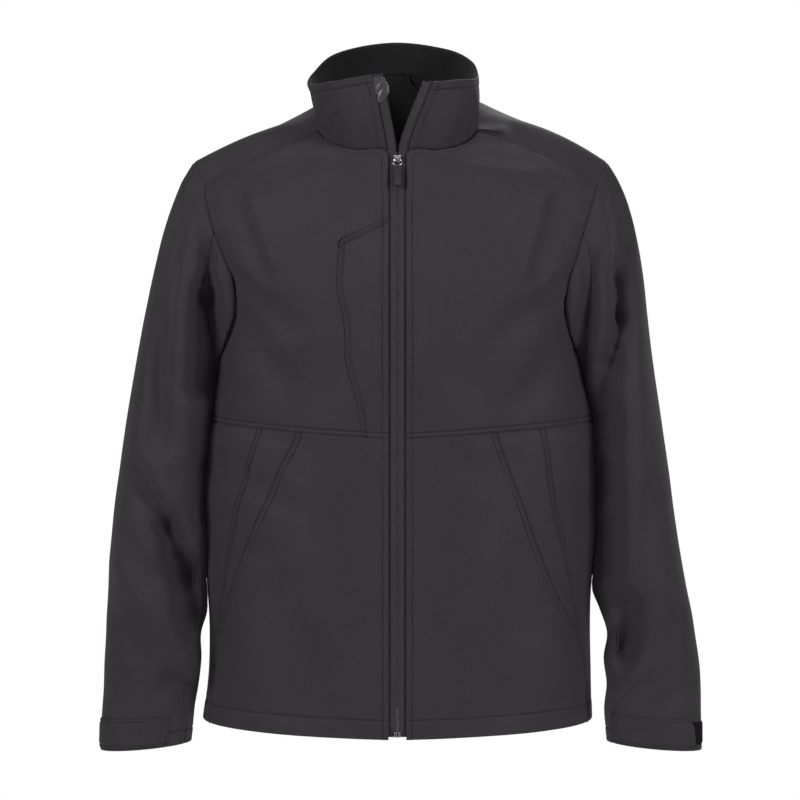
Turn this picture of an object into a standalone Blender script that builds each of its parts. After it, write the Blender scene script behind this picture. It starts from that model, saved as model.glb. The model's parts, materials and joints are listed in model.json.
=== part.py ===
"""Softshell jacket in its worn form, with nobody in it: standing collar, full front zip,
chest and hand pockets let into the fronts, two-piece sleeves with cuff tabs.

Metres, +Z up. The origin lies on the mid-plane at the height where the shoulders meet the
neck. -Y is the front and +X the wearer's left. Every cloth piece is a wall whose outer face
is worked out from the tables below, and seams keep a small gap on one shared line.
"""
import math

import bmesh
import bpy
import numpy as np
from mathutils import Matrix, Vector

COLLECTION = "softshell_jacket"

# Cloth and gaps
CLOTH = 0.0018            # bonded softshell, face and fleece
FACING = 0.0012           # lining of the collar
FACING_GAP = 0.0007       # between the collar and its lining, where they curve
TAPE = 0.0010             # woven zip tape
TAB = 0.0016              # doubled cuff tab
SEAM_GAP = 0.0003         # between pieces at a seam
SLEEVE_CLEAR = 0.0022     # between a sleeve and the body it hangs against
PRESSED_BELOW = -0.200    # the sleeves lie along the body below this height
ROUNDNESS = 2.2           # 2 is an ellipse, more is squarer

# Zip
TAPE_UNDER = 0.0080       # how far a tape runs under the front's edge
TAPE_WAIST = 0.12         # its share at the neck seam, where the front and collar part
TAPE_LIFT = 0.0006        # between the front's inner face and the tape
TEETH_HALF = 0.0009       # half of the channel that the teeth fill
SLIDER = (0.0090, 0.0042, 0.0085)
SLIDER_Z = -0.0510
SLIDER_LIFT = 0.0006      # between the tapes and the slider
EYE_OUTER = 0.0026        # eye on the slider that holds the ring
EYE_HOLE = 0.0016
EYE_WIDTH = 0.0026
RING_RADIUS = 0.0048
RING_WIRE = 0.0007
PULL_SIZE = (0.0102, 0.0026, 0.0250)
BOX_SIZE = (0.0080, 0.0030, 0.0090)

# Body below the underarm. half_* is the half width, front and back are depths from the
# mid-line, and the last five columns are where the seam lines cross, from the mid-plane.
LOWER_COLUMNS = ("name", "z_front", "z_side", "z_back", "half_right", "half_left", "front",
                 "back", "pocket", "inner_right", "outer_right", "inner_left", "outer_left")
LOWER_ROWS = (
    ("hem", -0.706, -0.7, -0.712, 0.2265, 0.2265, 0.123, 0.122, 0.06, 0.216, 0.216, 0.2187, 0.2187),
    ("low", -0.648, -0.645, -0.652, 0.2195, 0.225, 0.124, 0.124, 0.06, 0.2105, 0.2105, 0.2163, 0.2163),
    ("tip", -0.597, -0.594, -0.598, 0.2185, 0.2237, 0.126, 0.126, 0.058, 0.2042, 0.205, 0.2054, 0.2062),
    ("thigh", -0.545, -0.542, -0.545, 0.2215, 0.2255, 0.128, 0.128, 0.054, 0.1905, 0.1977, 0.18, 0.1979),
    ("seat", -0.495, -0.49, -0.494, 0.2255, 0.2315, 0.13, 0.129, 0.05, 0.1733, 0.1885, 0.16, 0.1869),
    ("hip", -0.445, -0.438, -0.443, 0.2268, 0.232, 0.131, 0.129, 0.044, 0.1516, 0.1786, 0.142, 0.1747),
    ("pocket_bar", -0.405, -0.396, -0.401, 0.224, 0.2305, 0.132, 0.128, 0.039, 0.1339, 0.1679,
     0.1265, 0.169),
    ("waist", -0.363, -0.351, -0.357, 0.218, 0.227, 0.132, 0.127, 0.0345, 0.1144, 0.1548, 0.1132, 0.1628),
    ("ribs", -0.325, -0.32, -0.322, 0.212, 0.22, 0.134, 0.13, 0.039, 0.112, 0.154, 0.112, 0.159),
    ("chest", -0.3, -0.298, -0.299, 0.2085, 0.2145, 0.136, 0.133, 0.046, 0.11, 0.153, 0.111, 0.156),
    ("underarm", -0.278, -0.278, -0.278, 0.206, 0.211, 0.138, 0.136, 0.0515, 0.108, 0.152, 0.11, 0.154),
)

# Above the underarm each row runs from the zip, the neck seam or the centre back (l) to the
# armhole (a). sweep is how far it turns round the body in degrees, bow brings its middle
# forward, sag lifts it, and steps is how many mesh rows lead up to it.
UPPER_COLUMNS = ("name", "steps", "l_x", "l_y", "l_z", "a_right", "a_left", "a_y", "a_z",
                 "sweep", "bow", "sag", "pocket", "inner", "outer")
FRONT_ROWS = (
    ("axilla", 1, 0.01, -0.139, -0.262, 0.1965, 0.202, -0.04, -0.263, 78, 0, 0, 0.0522, 0.106, 0.15),
    ("breast", 1, 0.01, -0.1395, -0.232, 0.1835, 0.1905, -0.063, -0.228, 66, 0, 0, 0.054, 0.1, 0.143),
    ("notch", 1, 0.01, -0.1375, -0.19, 0.185, 0.1935, -0.07, -0.192, 60, 0, -0.004, 0.0615, 0.104, 0.146),
    ("pocket_top", 1, 0.01, -0.1235, -0.1195, 0.196, 0.2025, -0.068, -0.163, 54, 0.002, -0.016,
     0.06, 0.108, 0.154),
    ("collarbone", 1, 0.0105, -0.107, -0.086, 0.208, 0.211, -0.061, -0.135, 48, 0.006, -0.01,
     0.064, 0.114, 0.163),
    ("neck_front", 2, 0.0135, -0.083, -0.041, 0.2145, 0.218, -0.054, -0.114, 40, 0.012, -0.002,
     0.078, 0.128, 0.174),
    ("neck_turn", 2, 0.05, -0.0715, -0.04, 0.218, 0.222, -0.048, -0.101, 32, 0.012, 0, 0.1, 0.144, 0.182),
    ("neck_side", 2, 0.078, -0.047, -0.0315, 0.22, 0.2255, -0.042, -0.09, 24, 0.01, 0.001,
     0.118, 0.156, 0.187),
    ("shoulder_seam", 2, 0.0925, -0.018, -0.0185, 0.2208, 0.2282, -0.035, -0.081, 18, 0.008,
     0.002, 0.127, 0.163, 0.19),
)
BACK_ROWS = (
    ("axilla", 1, 0, 0.1375, -0.247, 0.2, 0.205, 0.038, -0.259, 80, 0, 0, 0, 0, 0),
    ("blade_low", 1, 0, 0.139, -0.205, 0.195, 0.2005, 0.064, -0.223, 72, 0, 0, 0, 0, 0),
    ("blade", 1, 0, 0.1375, -0.15, 0.198, 0.2045, 0.074, -0.181, 66, 0, 0, 0, 0, 0),
    ("blade_top", 1, 0, 0.131, -0.09, 0.207, 0.2135, 0.072, -0.139, 58, 0, 0, 0, 0, 0),
    ("nape_low", 1, 0, 0.118, -0.03, 0.217, 0.2235, 0.06, -0.103, 48, -0.002, 0, 0, 0, 0),
    ("nape", 2, 0, 0.1, 0.015, 0.225, 0.2315, 0.043, -0.079, 38, -0.004, 0, 0, 0, 0),
    ("neck_back", 2, 0, 0.084, 0.046, 0.2295, 0.2362, 0.028, -0.066, 28, -0.004, -0.004, 0, 0, 0),
    ("neck_near", 1, 0.024, 0.0815, 0.044, 0.231, 0.2378, 0.021, -0.062, 24, -0.004, -0.004, 0, 0, 0),
    ("neck_curve", 1, 0.05, 0.0725, 0.037, 0.2322, 0.239, 0.014, -0.0585, 20, -0.003, -0.006, 0, 0, 0),
    ("neck_base", 1, 0.08, 0.043, 0.012, 0.2335, 0.2405, 0.003, -0.056, 14, -0.001, 0.001, 0, 0, 0),
    ("ridge", 1, 0.0925, 0.01, -0.0065, 0.2325, 0.24, -0.01, -0.057, 10, 0.002, 0.0085, 0, 0, 0),
    ("shoulder_seam", 2, 0.0925, -0.018, -0.0185, 0.2208, 0.2282, -0.035, -0.081, 18, 0.008,
     0.002, 0, 0, 0),
)
SHOULDER_EASE = {"right": 0.0, "left": 0.0065}  # extra rise of each shoulder's middle
EASE_SWEEP = (48.0, 24.0)       # rows that turn less than this take part, then take all of it
PANEL_STEPS = (3, 3, 2, 3)      # mesh columns between the zip, the seam lines and the side

# Sleeve below the armhole: inner and outer edge from the mid-plane as seen from the front,
# middle and depth from front to back, and how much lower the outer edge hangs.
SLEEVE_COLUMNS = ("z", "in_right", "out_right", "in_left", "out_left", "middle", "depth", "tilt")
SLEEVE_ROWS = (
    (-0.315, 0.2060, 0.3070, 0.2130, 0.2996, 0.000, 0.158, 0.000),
    (-0.345, 0.2095, 0.3120, 0.2170, 0.3045, -0.002, 0.157, 0.000),
    (-0.380, 0.2130, 0.3175, 0.2205, 0.3095, -0.004, 0.155, 0.000),
    (-0.415, 0.2150, 0.3225, 0.2225, 0.3142, -0.007, 0.152, 0.000),
    (-0.450, 0.2165, 0.3272, 0.2235, 0.3186, -0.010, 0.148, 0.000),
    (-0.485, 0.2165, 0.3305, 0.2230, 0.3242, -0.012, 0.144, 0.000),
    (-0.515, 0.2160, 0.3330, 0.2220, 0.3292, -0.015, 0.138, 0.000),
    (-0.545, 0.2165, 0.3345, 0.2235, 0.3345, -0.018, 0.130, 0.001),
    (-0.575, 0.2195, 0.3362, 0.2345, 0.3410, -0.021, 0.118, 0.002),
    (-0.600, 0.2270, 0.3370, 0.2425, 0.3450, -0.023, 0.108, 0.002),
    (-0.630, 0.2268, 0.3390, 0.2385, 0.3495, -0.026, 0.098, 0.003),
    (-0.660, 0.2300, 0.3400, 0.2420, 0.3510, -0.029, 0.088, 0.003),
    (-0.689, 0.2345, 0.3420, 0.2390, 0.3512, -0.032, 0.078, 0.004),
    (-0.701, 0.2355, 0.3424, 0.2395, 0.3515, -0.033, 0.074, 0.004),
    (-0.713, 0.2368, 0.3428, 0.2408, 0.3516, -0.034, 0.071, 0.005),
    (-0.722, 0.2380, 0.3432, 0.2418, 0.3517, -0.035, 0.069, 0.005),
    (-0.727, 0.2385, 0.3434, 0.2422, 0.3517, -0.035, 0.068, 0.005),
)
CAP_STEPS = 7                   # mesh rows from the armhole to the first sleeve row
CAP_SWELL = {"right": 0.70, "left": 0.88}  # how far the sleeve head rounds out
# Where the armhole's corners go round the sleeve: 0 is its outer edge, 180 its inner edge.
CAP_TURNS = (("underarm", 180.0), ("front_seam", 150.0), ("ridge", 0.0), ("back_seam", -148.0),
             ("underarm", -180.0))

# Largest folds, as lines seen from the front. depth is inwards, so a ridge is negative.
FOLD_COLUMNS = ("side", "x1", "z1", "x2", "z2", "width", "depth")
FOLDS = (
    ("right", 0.270, -0.170, 0.282, -0.385, 0.016, 0.0080),
    ("right", 0.304, -0.410, 0.240, -0.520, 0.017, 0.0110),
    ("right", 0.262, -0.520, 0.232, -0.535, 0.020, 0.0130),
    ("right", 0.318, -0.515, 0.262, -0.583, 0.014, -0.0060),
    ("right", 0.262, -0.655, 0.240, -0.668, 0.018, 0.0090),
    ("right", 0.252, -0.600, 0.240, -0.640, 0.012, -0.0050),
    ("right", 0.241, -0.080, 0.246, -0.125, 0.010, -0.0040),
    ("left", 0.250, -0.085, 0.268, -0.225, 0.015, 0.0080),
    ("left", 0.268, -0.225, 0.240, -0.350, 0.016, 0.0100),
    ("left", 0.246, -0.350, 0.243, -0.520, 0.015, 0.0080),
    ("left", 0.296, -0.440, 0.262, -0.545, 0.016, 0.0060),
    ("left", 0.268, -0.565, 0.262, -0.610, 0.016, 0.0110),
    ("left", 0.280, -0.625, 0.250, -0.665, 0.012, -0.0050),
)

# Top edge of the collar, by its share of the way round from the wearer's right front corner.
COLLAR_COLUMNS = ("share", "x", "y", "z")
COLLAR_TOP = (
    (0.00, -0.0290, -0.0870, 0.0445),
    (0.11, -0.0640, -0.0760, 0.0385),
    (0.21, -0.0940, -0.0470, 0.0335),
    (0.29, -0.1035, -0.0120, 0.0350),
    (0.36, -0.0970, 0.0200, 0.0480),
    (0.42, -0.0740, 0.0430, 0.0690),
    (0.50, -0.0060, 0.0610, 0.0830),
    (0.58, 0.0620, 0.0460, 0.0740),
    (0.64, 0.0860, 0.0230, 0.0610),
    (0.71, 0.0930, -0.0100, 0.0440),
    (0.79, 0.0880, -0.0450, 0.0400),
    (0.89, 0.0700, -0.0740, 0.0385),
    (1.00, 0.0410, -0.0870, 0.0360),
)
COLLAR_STEPS = 5
COLLAR_BOW = 0.0020             # how far the collar's middle rounds out
COLLAR_FLARE = 1.25             # above 1 the front edges part mostly near the top
FACING_INSET = 0.0025           # from the collar's edges to its lining's

OPEN_TAPE = 0.0100              # tape that shows beside each front above the slider
TAPE_RISE = 0.0030              # the tapes stop this far above the hem
GUARD_ROWS = 2                  # collar rows that the zip guard covers
GUARD_REACH = (0.0095, 0.0085, 0.0075)  # its free edge from the mid-plane, lowest row first
GUARD = 0.0010

# Cuff tabs: mesh rows they cover, and where they start and end round the sleeve
TAB_ROWS = 3
TAB_TURNS = {"right": (126.0, -20.0), "left": (144.0, 24.0)}
PATCH = 0.0012
PATCH_COLUMNS = 2

# Hang loop at the centre back, seen from the front
LOOP_X = (0.0100, 0.0310)
LOOP_DROP = 0.0140
LOOP_WIDTH = 0.0036
LOOP_THICK = 0.0010

COLOURS = {
    "shell": ((0.046, 0.037, 0.045), 0.75, 0.0),
    "lining": ((0.012, 0.009, 0.012), 0.85, 0.0),
    "tape": ((0.042, 0.034, 0.042), 0.70, 0.0),
    "guard": ((0.110, 0.105, 0.115), 0.35, 0.0),
    "metal": ((0.620, 0.620, 0.640), 0.20, 1.0),
    "rubber": ((0.035, 0.034, 0.038), 0.50, 0.0),
    "hook_tape": ((0.006, 0.006, 0.007), 0.95, 0.0),
}
SIDES = {"right": -1.0, "left": 1.0}


def named(columns, rows):
    """Table rows as dictionaries."""
    return [dict(zip(columns, row)) for row in rows]


def unit(vectors):
    """Vectors scaled to length 1."""
    return vectors / np.maximum(np.linalg.norm(vectors, axis=-1, keepdims=True), 1e-12)


def through(positions, values, at):
    """A smooth curve through values at positions, read at each place in at."""
    positions, values = np.asarray(positions, float), np.asarray(values, float)
    slopes = np.gradient(values, positions, axis=0)
    result = []
    for place in np.atleast_1d(at):
        i = int(np.clip(np.searchsorted(positions, place) - 1, 0, len(positions) - 2))
        span = positions[i + 1] - positions[i]
        u = (place - positions[i]) / span
        result.append((2 * u**3 - 3 * u**2 + 1) * values[i] + (u**3 - 2 * u**2 + u) * span * slopes[i]
                      + (3 * u**2 - 2 * u**3) * values[i + 1] + (u**3 - u**2) * span * slopes[i + 1])
    return np.array(result)


def bend(reach):
    """How far back the body's outline has turned at a share of its half width."""
    return 1.0 - (1.0 - min(reach, 1.0) ** ROUNDNESS) ** (1.0 / ROUNDNESS)


def upper_rows(table, lower, side):
    """Rows from the underarm up, with the rows between them filled in smoothly."""
    keys = [lower] + named(UPPER_COLUMNS, table)
    names = ("l_x", "l_y", "l_z", "a_x", "a_y", "a_z", "sweep", "bow", "sag", "pocket", "inner", "outer")
    for key in keys[1:]:
        key["a_x"] = key["a_" + side]
    values = np.array([[key[name] for name in names] for key in keys])
    ends = values[:, :6]
    places = np.concatenate(([0.0], np.cumsum(np.linalg.norm(np.diff(ends, axis=0), axis=1))))
    result = []
    for i, key in enumerate(keys[1:], 1):
        for step in range(1, key["steps"] + 1):
            place = places[i - 1] + (places[i] - places[i - 1]) * step / key["steps"]
            row = dict(zip(names, through(places, values, place)[0]))
            row["l_x"] = float(np.clip(row["l_x"], *sorted((keys[i - 1]["l_x"], key["l_x"]))))
            ease = (EASE_SWEEP[0] - row["sweep"]) / (EASE_SWEEP[0] - EASE_SWEEP[1])
            row["sag"] += SHOULDER_EASE[side] * min(max(ease, 0.0), 1.0)
            row["name"] = key["name"] if step == key["steps"] else ""
            result.append(row)
    return result


def lower_row(row, side, face):
    """One row below the underarm, as the front or the back needs it."""
    front = face == "front"
    return {"name": row["name"], "l_x": 0.010 if front else 0.0,
            "l_y": -row["front"] if front else row["back"], "l_z": row["z_" + face],
            "a_x": row["half_" + side], "a_y": 0.0, "a_z": row["z_side"], "sweep": 90.0,
            "bow": 0.0, "sag": 0.0, "pocket": row["pocket"], "inner": row["inner_" + side],
            "outer": row["outer_" + side]}


def half_rows(side, face):
    """All rows of one half of the front or back, from the hem to the shoulder seam."""
    rows = [lower_row(row, side, face) for row in named(LOWER_COLUMNS, LOWER_ROWS)]
    table = FRONT_ROWS if face == "front" else BACK_ROWS
    return rows + upper_rows(table, rows[-1], side)


def front_shares(row):
    """Shares of the way along a front row at which its mesh columns lie."""
    sweep = math.radians(row["sweep"])
    stops = [0.0]
    for line in ("pocket", "inner", "outer"):
        reach = (row[line] - row["l_x"]) / (row["a_x"] - row["l_x"])
        stops.append(math.asin(reach * math.sin(sweep)) / sweep)
    stops.append(1.0)
    shares = [0.0]
    for start, end, steps in zip(stops, stops[1:], PANEL_STEPS):
        shares += [start + (end - start) * (i + 1) / steps for i in range(steps)]
    return shares


def cross_line(row, shares, sign):
    """Points along one row of the body."""
    sweep = math.radians(row["sweep"])
    full = math.sin(sweep)
    points = []
    for share in shares:
        reach = math.sin(share * sweep) / full
        turned = bend(reach * full) / bend(full)
        points.append((sign * (row["l_x"] + (row["a_x"] - row["l_x"]) * reach),
                       row["l_y"] + (row["a_y"] - row["l_y"]) * turned
                       - row["bow"] * math.sin(math.pi * share),
                       row["l_z"] + (row["a_z"] - row["l_z"]) * reach
                       + row["sag"] * 4.0 * reach * (1.0 - reach)))
    return points


def outward(grid, middle, closed=False):
    """Unit normals of a grid of points, pointing away from middle."""
    if closed:
        wrapped = np.concatenate((grid[:, -1:], grid, grid[:, :1]), axis=1)
        along = np.gradient(wrapped, axis=1)[:, 1:-1]
    else:
        along = np.gradient(grid, axis=1)
    normals = unit(np.cross(np.gradient(grid, axis=0), along))
    if np.sum(normals * (grid - middle)) < 0:
        normals = -normals
    return normals


def share_rim(first, second, least=0.3):
    """Give two pieces the same direction along a seam, where they don't double back."""
    both = unit(first + second)
    agree = np.sum(first * second, axis=-1, keepdims=True) > least
    first[:] = np.where(agree, both, first)
    second[:] = np.where(agree, both, second)


def material(name):
    """Principled material from the colour table, made once."""
    found = bpy.data.materials.get(name)
    if found:
        return found
    colour, roughness, metallic = COLOURS[name]
    made = bpy.data.materials.new(name)
    made.use_nodes = True
    shader = made.node_tree.nodes["Principled BSDF"]
    shader.inputs["Base Color"].default_value = (*colour, 1.0)
    shader.inputs["Roughness"].default_value = roughness
    shader.inputs["Metallic"].default_value = metallic
    made.diffuse_color = (*colour, 1.0)
    return made


def add_object(name, data, finish):
    """Link a mesh or curve as a named object with its material."""
    part = bpy.data.objects.new(name, data)
    part.data.materials.append(material(finish))
    bpy.data.collections[COLLECTION].objects.link(part)
    return part


def cells(rows, columns, wrap=0, joined=None):
    """Corner keys of grid cells. wrap is a closed grid's column count, and joined is the
    row up to which the two middle columns of the back are one."""
    def key(r, c):
        if wrap:
            return r, c % wrap
        if joined and c == joined[1] + 1 and r <= joined[0]:
            return r, joined[1]
        return r, c
    return [(key(r, c), key(r, c + 1), key(r + 1, c + 1), key(r + 1, c)) for r in rows for c in columns
            if not (joined and c == joined[1])]


def wall(name, grid, normals, patch, thickness, finish, lift=0.0, inset=SEAM_GAP / 2):
    """Cloth wall over a patch of cells: a loft whose outer face follows the grid, lifted off
    it by lift, and whose edges are drawn in by inset."""
    edges, draw = {}, {}
    for corners in patch:
        centre = sum(grid[key] for key in corners) / 4
        for key, following in zip(corners, corners[1:] + corners[:1]):
            edges.setdefault(tuple(sorted((key, following))), []).append(centre)
    rim = [edge for edge, centres in sorted(edges.items()) if len(centres) == 1]
    for p, q in rim:
        run = unit(grid[q] - grid[p])
        into = edges[p, q][0] - grid[p]
        into = unit(into - run * (into @ run))
        for key in (p, q):
            draw.setdefault(key, []).append(into)
    mesh = bmesh.new()
    outer, inner = {}, {}
    for key in sorted({key for corners in patch for key in corners}):
        point = grid[key] + normals[key] * lift
        if key in draw:
            first, second = draw[key][0], draw[key][-1]
            point = point + (first + second) / (1.0 + first @ second) * inset
        outer[key] = mesh.verts.new(point)
        inner[key] = mesh.verts.new(point - normals[key] * thickness)
    for corners in patch:
        for skin in (outer, inner):
            mesh.faces.new([skin[key] for key in corners])
    for p, q in rim:
        mesh.faces.new((outer[p], outer[q], inner[q], inner[p]))
    bmesh.ops.recalc_face_normals(mesh, faces=mesh.faces)
    data = bpy.data.meshes.new(name)
    mesh.to_mesh(data)
    mesh.free()
    data.shade_smooth()
    data.set_sharp_from_angle(angle=math.radians(40))
    return add_object(name, data, finish)


def block(name, size, bevel, finish):
    """Box with rounded edges, at the origin."""
    mesh = bmesh.new()
    bmesh.ops.create_cube(mesh, size=1.0)
    bmesh.ops.scale(mesh, vec=size, verts=mesh.verts)
    data = bpy.data.meshes.new(name)
    mesh.to_mesh(data)
    mesh.free()
    part = add_object(name, data, finish)
    rounding = part.modifiers.new("rounded edges", "BEVEL")
    rounding.width = bevel
    rounding.segments = 2
    return part


def body_half(side):
    """Grids and normals of the front and back halves of one side."""
    sign = SIDES[side]
    rows = {face: half_rows(side, face) for face in ("front", "back")}
    top_shares = front_shares(rows["front"][-1])
    front = np.array([cross_line(row, front_shares(row), sign) for row in rows["front"]])
    back = np.array([cross_line(row, top_shares, sign) for row in rows["back"]])
    half = {"rows": rows, "front": front, "back": back}
    for face in ("front", "back"):
        middle = half[face] * (0.0, 0.0, 1.0) + (0.0, 0.0, -0.10)
        half[face + "_out"] = outward(half[face], middle)
    neck = row_index(rows["back"], "neck_back")
    half["back_out"][:neck + 1, 0, 0] = 0.0
    half["back_out"] = unit(half["back_out"])
    share_rim(half["front_out"][:len(LOWER_ROWS), -1], half["back_out"][:len(LOWER_ROWS), -1])
    share_rim(half["front_out"][-1], half["back_out"][-1])
    inner, outer = np.cumsum(PANEL_STEPS)[1:3]
    tip = row_index(rows["front"], "tip")
    share_rim(half["front_out"][:tip, inner], half["front_out"][:tip, outer])
    return half


def row_index(rows, name):
    """Place of a named row."""
    return next(i for i, row in enumerate(rows) if row["name"] == name)


def body_reach(side, y, z):
    """Half width of the body at a depth and height below the underarm."""
    rows = named(LOWER_COLUMNS, LOWER_ROWS)
    heights = [row["z_side"] for row in rows]
    half = np.interp(z, heights, [row["half_" + side] for row in rows])
    depth = np.interp(z, heights, [row["front" if y < 0 else "back"] for row in rows])
    return half * (1.0 - min(abs(y) / depth, 0.999) ** ROUNDNESS) ** (1.0 / ROUNDNESS)


def armhole(half):
    """Armhole loop from the underarm up the front, over the shoulder and down the back."""
    start = len(LOWER_ROWS) - 1
    front, back = half["front"][start:, -1], half["back"][start:, -1]
    ridge = row_index(half["rows"]["back"], "ridge") - start
    notch = row_index(half["rows"]["front"], "collarbone") - start
    blade = row_index(half["rows"]["back"], "nape_low") - start
    loop = np.concatenate((front, back[::-1][1:-1]))
    total = len(loop)
    corners = [0, notch, len(front) - 1 + (len(back) - 1 - ridge), total - blade, total]
    turns = np.interp(np.arange(total), corners, [turn for _, turn in CAP_TURNS])
    seams = (corners[1], corners[3])
    return loop, np.radians(turns), seams


def fold_shift(side, points, normals):
    """How far folds push each point inwards, for points that face the front."""
    shift = np.zeros(points.shape[:-1])
    for fold in named(FOLD_COLUMNS, FOLDS):
        if fold["side"] != side:
            continue
        start = np.array((fold["x1"], fold["z1"]))
        run = np.array((fold["x2"], fold["z2"])) - start
        place = np.stack((np.abs(points[..., 0]), points[..., 2]), axis=-1) - start
        along = np.clip(place @ run / (run @ run), 0.0, 1.0)
        away = np.linalg.norm(place - along[..., None] * run, axis=-1)
        shift += fold["depth"] * np.exp(-(away / fold["width"]) ** 2)
    return shift * np.clip(-normals[..., 1] * 1.6, 0.0, 1.0)


def sleeve(side, half):
    """Grid of one sleeve, its normals and the columns of its two seams."""
    sign = SIDES[side]
    loop, turns, seams = armhole(half)
    rings = []
    for row in named(SLEEVE_COLUMNS, SLEEVE_ROWS):
        centre = (row["in_" + side] + row["out_" + side]) / 2
        reach = (row["out_" + side] - row["in_" + side]) / 2
        rings.append(np.stack((sign * (centre + reach * np.cos(turns)),
                               row["middle"] - row["depth"] / 2 * np.sin(turns),
                               row["z"] - row["tilt"] * np.cos(turns)), axis=-1))
    first = rings[0]
    under = np.abs(turns)[:, None] / math.pi
    away = np.linalg.norm(first - loop, axis=1)[:, None]
    leave = unit(np.concatenate((sign * (0.62 - 0.24 * under), -0.38 * np.sin(turns)[:, None],
                                 -0.80 - 0.10 * under), axis=1)) * away * CAP_SWELL[side]
    arrive = unit(rings[1] - rings[0]) * away * 1.05
    cap = []
    for step in range(CAP_STEPS):
        u = step / CAP_STEPS
        cap.append((2 * u**3 - 3 * u**2 + 1) * loop + (u**3 - 2 * u**2 + u) * leave
                   + (3 * u**2 - 2 * u**3) * first + (u**3 - u**2) * arrive)
    grid = np.array(cap + rings)
    middle = np.repeat(grid.mean(axis=1, keepdims=True), grid.shape[1], axis=1)
    normals = outward(grid, middle, closed=True)
    shift = fold_shift(side, grid, normals)
    shift[0] = 0.0
    grid = grid - normals * shift[..., None]
    for r in range(1, len(grid)):
        for c in range(grid.shape[1]):
            x, y, z = grid[r, c]
            clear = SLEEVE_CLEAR * min(1.0, r / 3)
            if z < PRESSED_BELOW:
                grid[r, c, 0] = sign * max(abs(x), body_reach(side, y, z) + clear)
    return grid, outward(grid, middle, closed=True), seams, turns


def share_armhole(half, normals):
    """Match the cloth's direction on both sides of the armhole seam."""
    start = len(LOWER_ROWS) - 1
    front, back = half["front_out"][start:, -1], half["back_out"][start:, -1]
    count = len(front)
    share_rim(front, normals[0, :count])
    share_rim(back[::-1][1:-1], normals[0, count:])
    back[-1] = front[-1]
    back[0] = front[0]


def build_fronts(side, half):
    """Front pieces of one side."""
    rows, grid, out = half["rows"]["front"], half["front"], half["front_out"]
    waist, tip = row_index(rows, "waist"), row_index(rows, "tip")
    pocket_top, top = row_index(rows, "pocket_top"), len(rows) - 1
    a, b, c, last = np.cumsum(PANEL_STEPS)
    pocket = cells(range(waist, pocket_top), range(0, a)) if side == "right" else []
    upper = [cell for cell in cells(range(waist, top), range(0, last)) if cell not in pocket]
    if pocket:
        wall("chest_pocket_" + side, grid, out, pocket, CLOTH, "shell")
    wall("front_upper_" + side, grid, out, upper, CLOTH, "shell")
    wall("front_lower_" + side, grid, out, cells(range(0, waist), range(0, b)), CLOTH, "shell")
    wall("hand_pocket_" + side, grid, out, cells(range(tip, waist), range(b, c)), CLOTH, "shell")
    wall("front_side_" + side, grid, out, cells(range(0, waist), range(c, last)), CLOTH, "shell")


def build_back(halves):
    """The back, one piece from side seam to side seam, which comes over both shoulders."""
    grid, out = (np.concatenate((halves["right"][key][:, ::-1], halves["left"][key]), axis=1)
                 for key in ("back", "back_out"))
    neck = row_index(halves["left"]["rows"]["back"], "neck_back")
    middle = grid.shape[1] // 2 - 1
    patch = cells(range(grid.shape[0] - 1), range(grid.shape[1] - 1), joined=(neck, middle))
    wall("back", grid, out, patch, CLOTH, "shell")


def build_sleeve(side, half):
    """Top sleeve, under sleeve and cuff tab of one side."""
    grid, out, (front_seam, back_seam), turns = half["sleeve"]
    last, wrap = len(grid) - 1, grid.shape[1]
    top = cells(range(last), range(front_seam, back_seam), wrap)
    under = cells(range(last), range(back_seam, front_seam + wrap), wrap)
    wall("sleeve_top_" + side, grid, out, top, CLOTH, "shell")
    wall("sleeve_under_" + side, grid, out, under, CLOTH, "shell")
    tab_rows = range(last - TAB_ROWS - 1, last - 1)
    start, end = (int(np.argmin(np.abs(np.degrees(turns) - turn))) for turn in TAB_TURNS[side])
    wall("cuff_tab_" + side, grid, out, cells(tab_rows, range(start, end), wrap), TAB, "shell",
         lift=SEAM_GAP + TAB)
    wall("cuff_patch_" + side, grid, out, cells(tab_rows, range(end, end + PATCH_COLUMNS), wrap),
         PATCH, "hook_tape", lift=SEAM_GAP + PATCH, inset=0.0015)


def neck_loop(halves):
    """Neck seam from the wearer's right front edge round the back to the left one."""
    def one_side(half):
        front_rows, back_rows = half["rows"]["front"], half["rows"]["back"]
        front = half["front"][row_index(front_rows, "neck_front"):, 0]
        back = half["back"][row_index(back_rows, "neck_back"):-1, 0][::-1]
        return np.concatenate((front, back))
    right, left = one_side(halves["right"]), one_side(halves["left"])
    return np.concatenate((right, left[::-1][1:]))


def collar_grid(halves):
    """Collar from the neck seam to its top edge."""
    base = neck_loop(halves)
    lengths = np.concatenate(([0.0], np.cumsum(np.linalg.norm(np.diff(base, axis=0), axis=1))))
    table = np.array(COLLAR_TOP)
    top = through(table[:, 0], table[:, 1:], lengths / lengths[-1])
    rows = []
    for step in range(COLLAR_STEPS + 1):
        up = step / COLLAR_STEPS
        share = np.array((up ** COLLAR_FLARE, up ** COLLAR_FLARE, up))
        row = base + (top - base) * share
        round_out = unit(row * (1.0, 1.0, 0.0)) * COLLAR_BOW * math.sin(math.pi * up)
        rows.append(row + round_out)
    grid = np.array(rows)
    return grid, outward(grid, grid * (0.0, 0.0, 1.0))


def share_neck(halves, collar_out):
    """Match the cloth's direction on both sides of the neck seam."""
    columns = collar_out.shape[1]
    for side, order in (("right", slice(None)), ("left", slice(None, None, -1))):
        half = halves[side]
        start = row_index(half["rows"]["front"], "neck_front")
        neck = row_index(half["rows"]["back"], "neck_back")
        front, back = half["front_out"][start:, 0], half["back_out"][neck:-1, 0][::-1]
        base = collar_out[0, order]
        share_rim(front, base[:len(front)])
        share_rim(back, base[len(front):len(front) + len(back)])
        half["back_out"][-1, 0] = front[-1]
    middle = columns // 2
    halves["right"]["back_out"][neck, 0] = halves["left"]["back_out"][neck, 0] = collar_out[0, middle]


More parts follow.
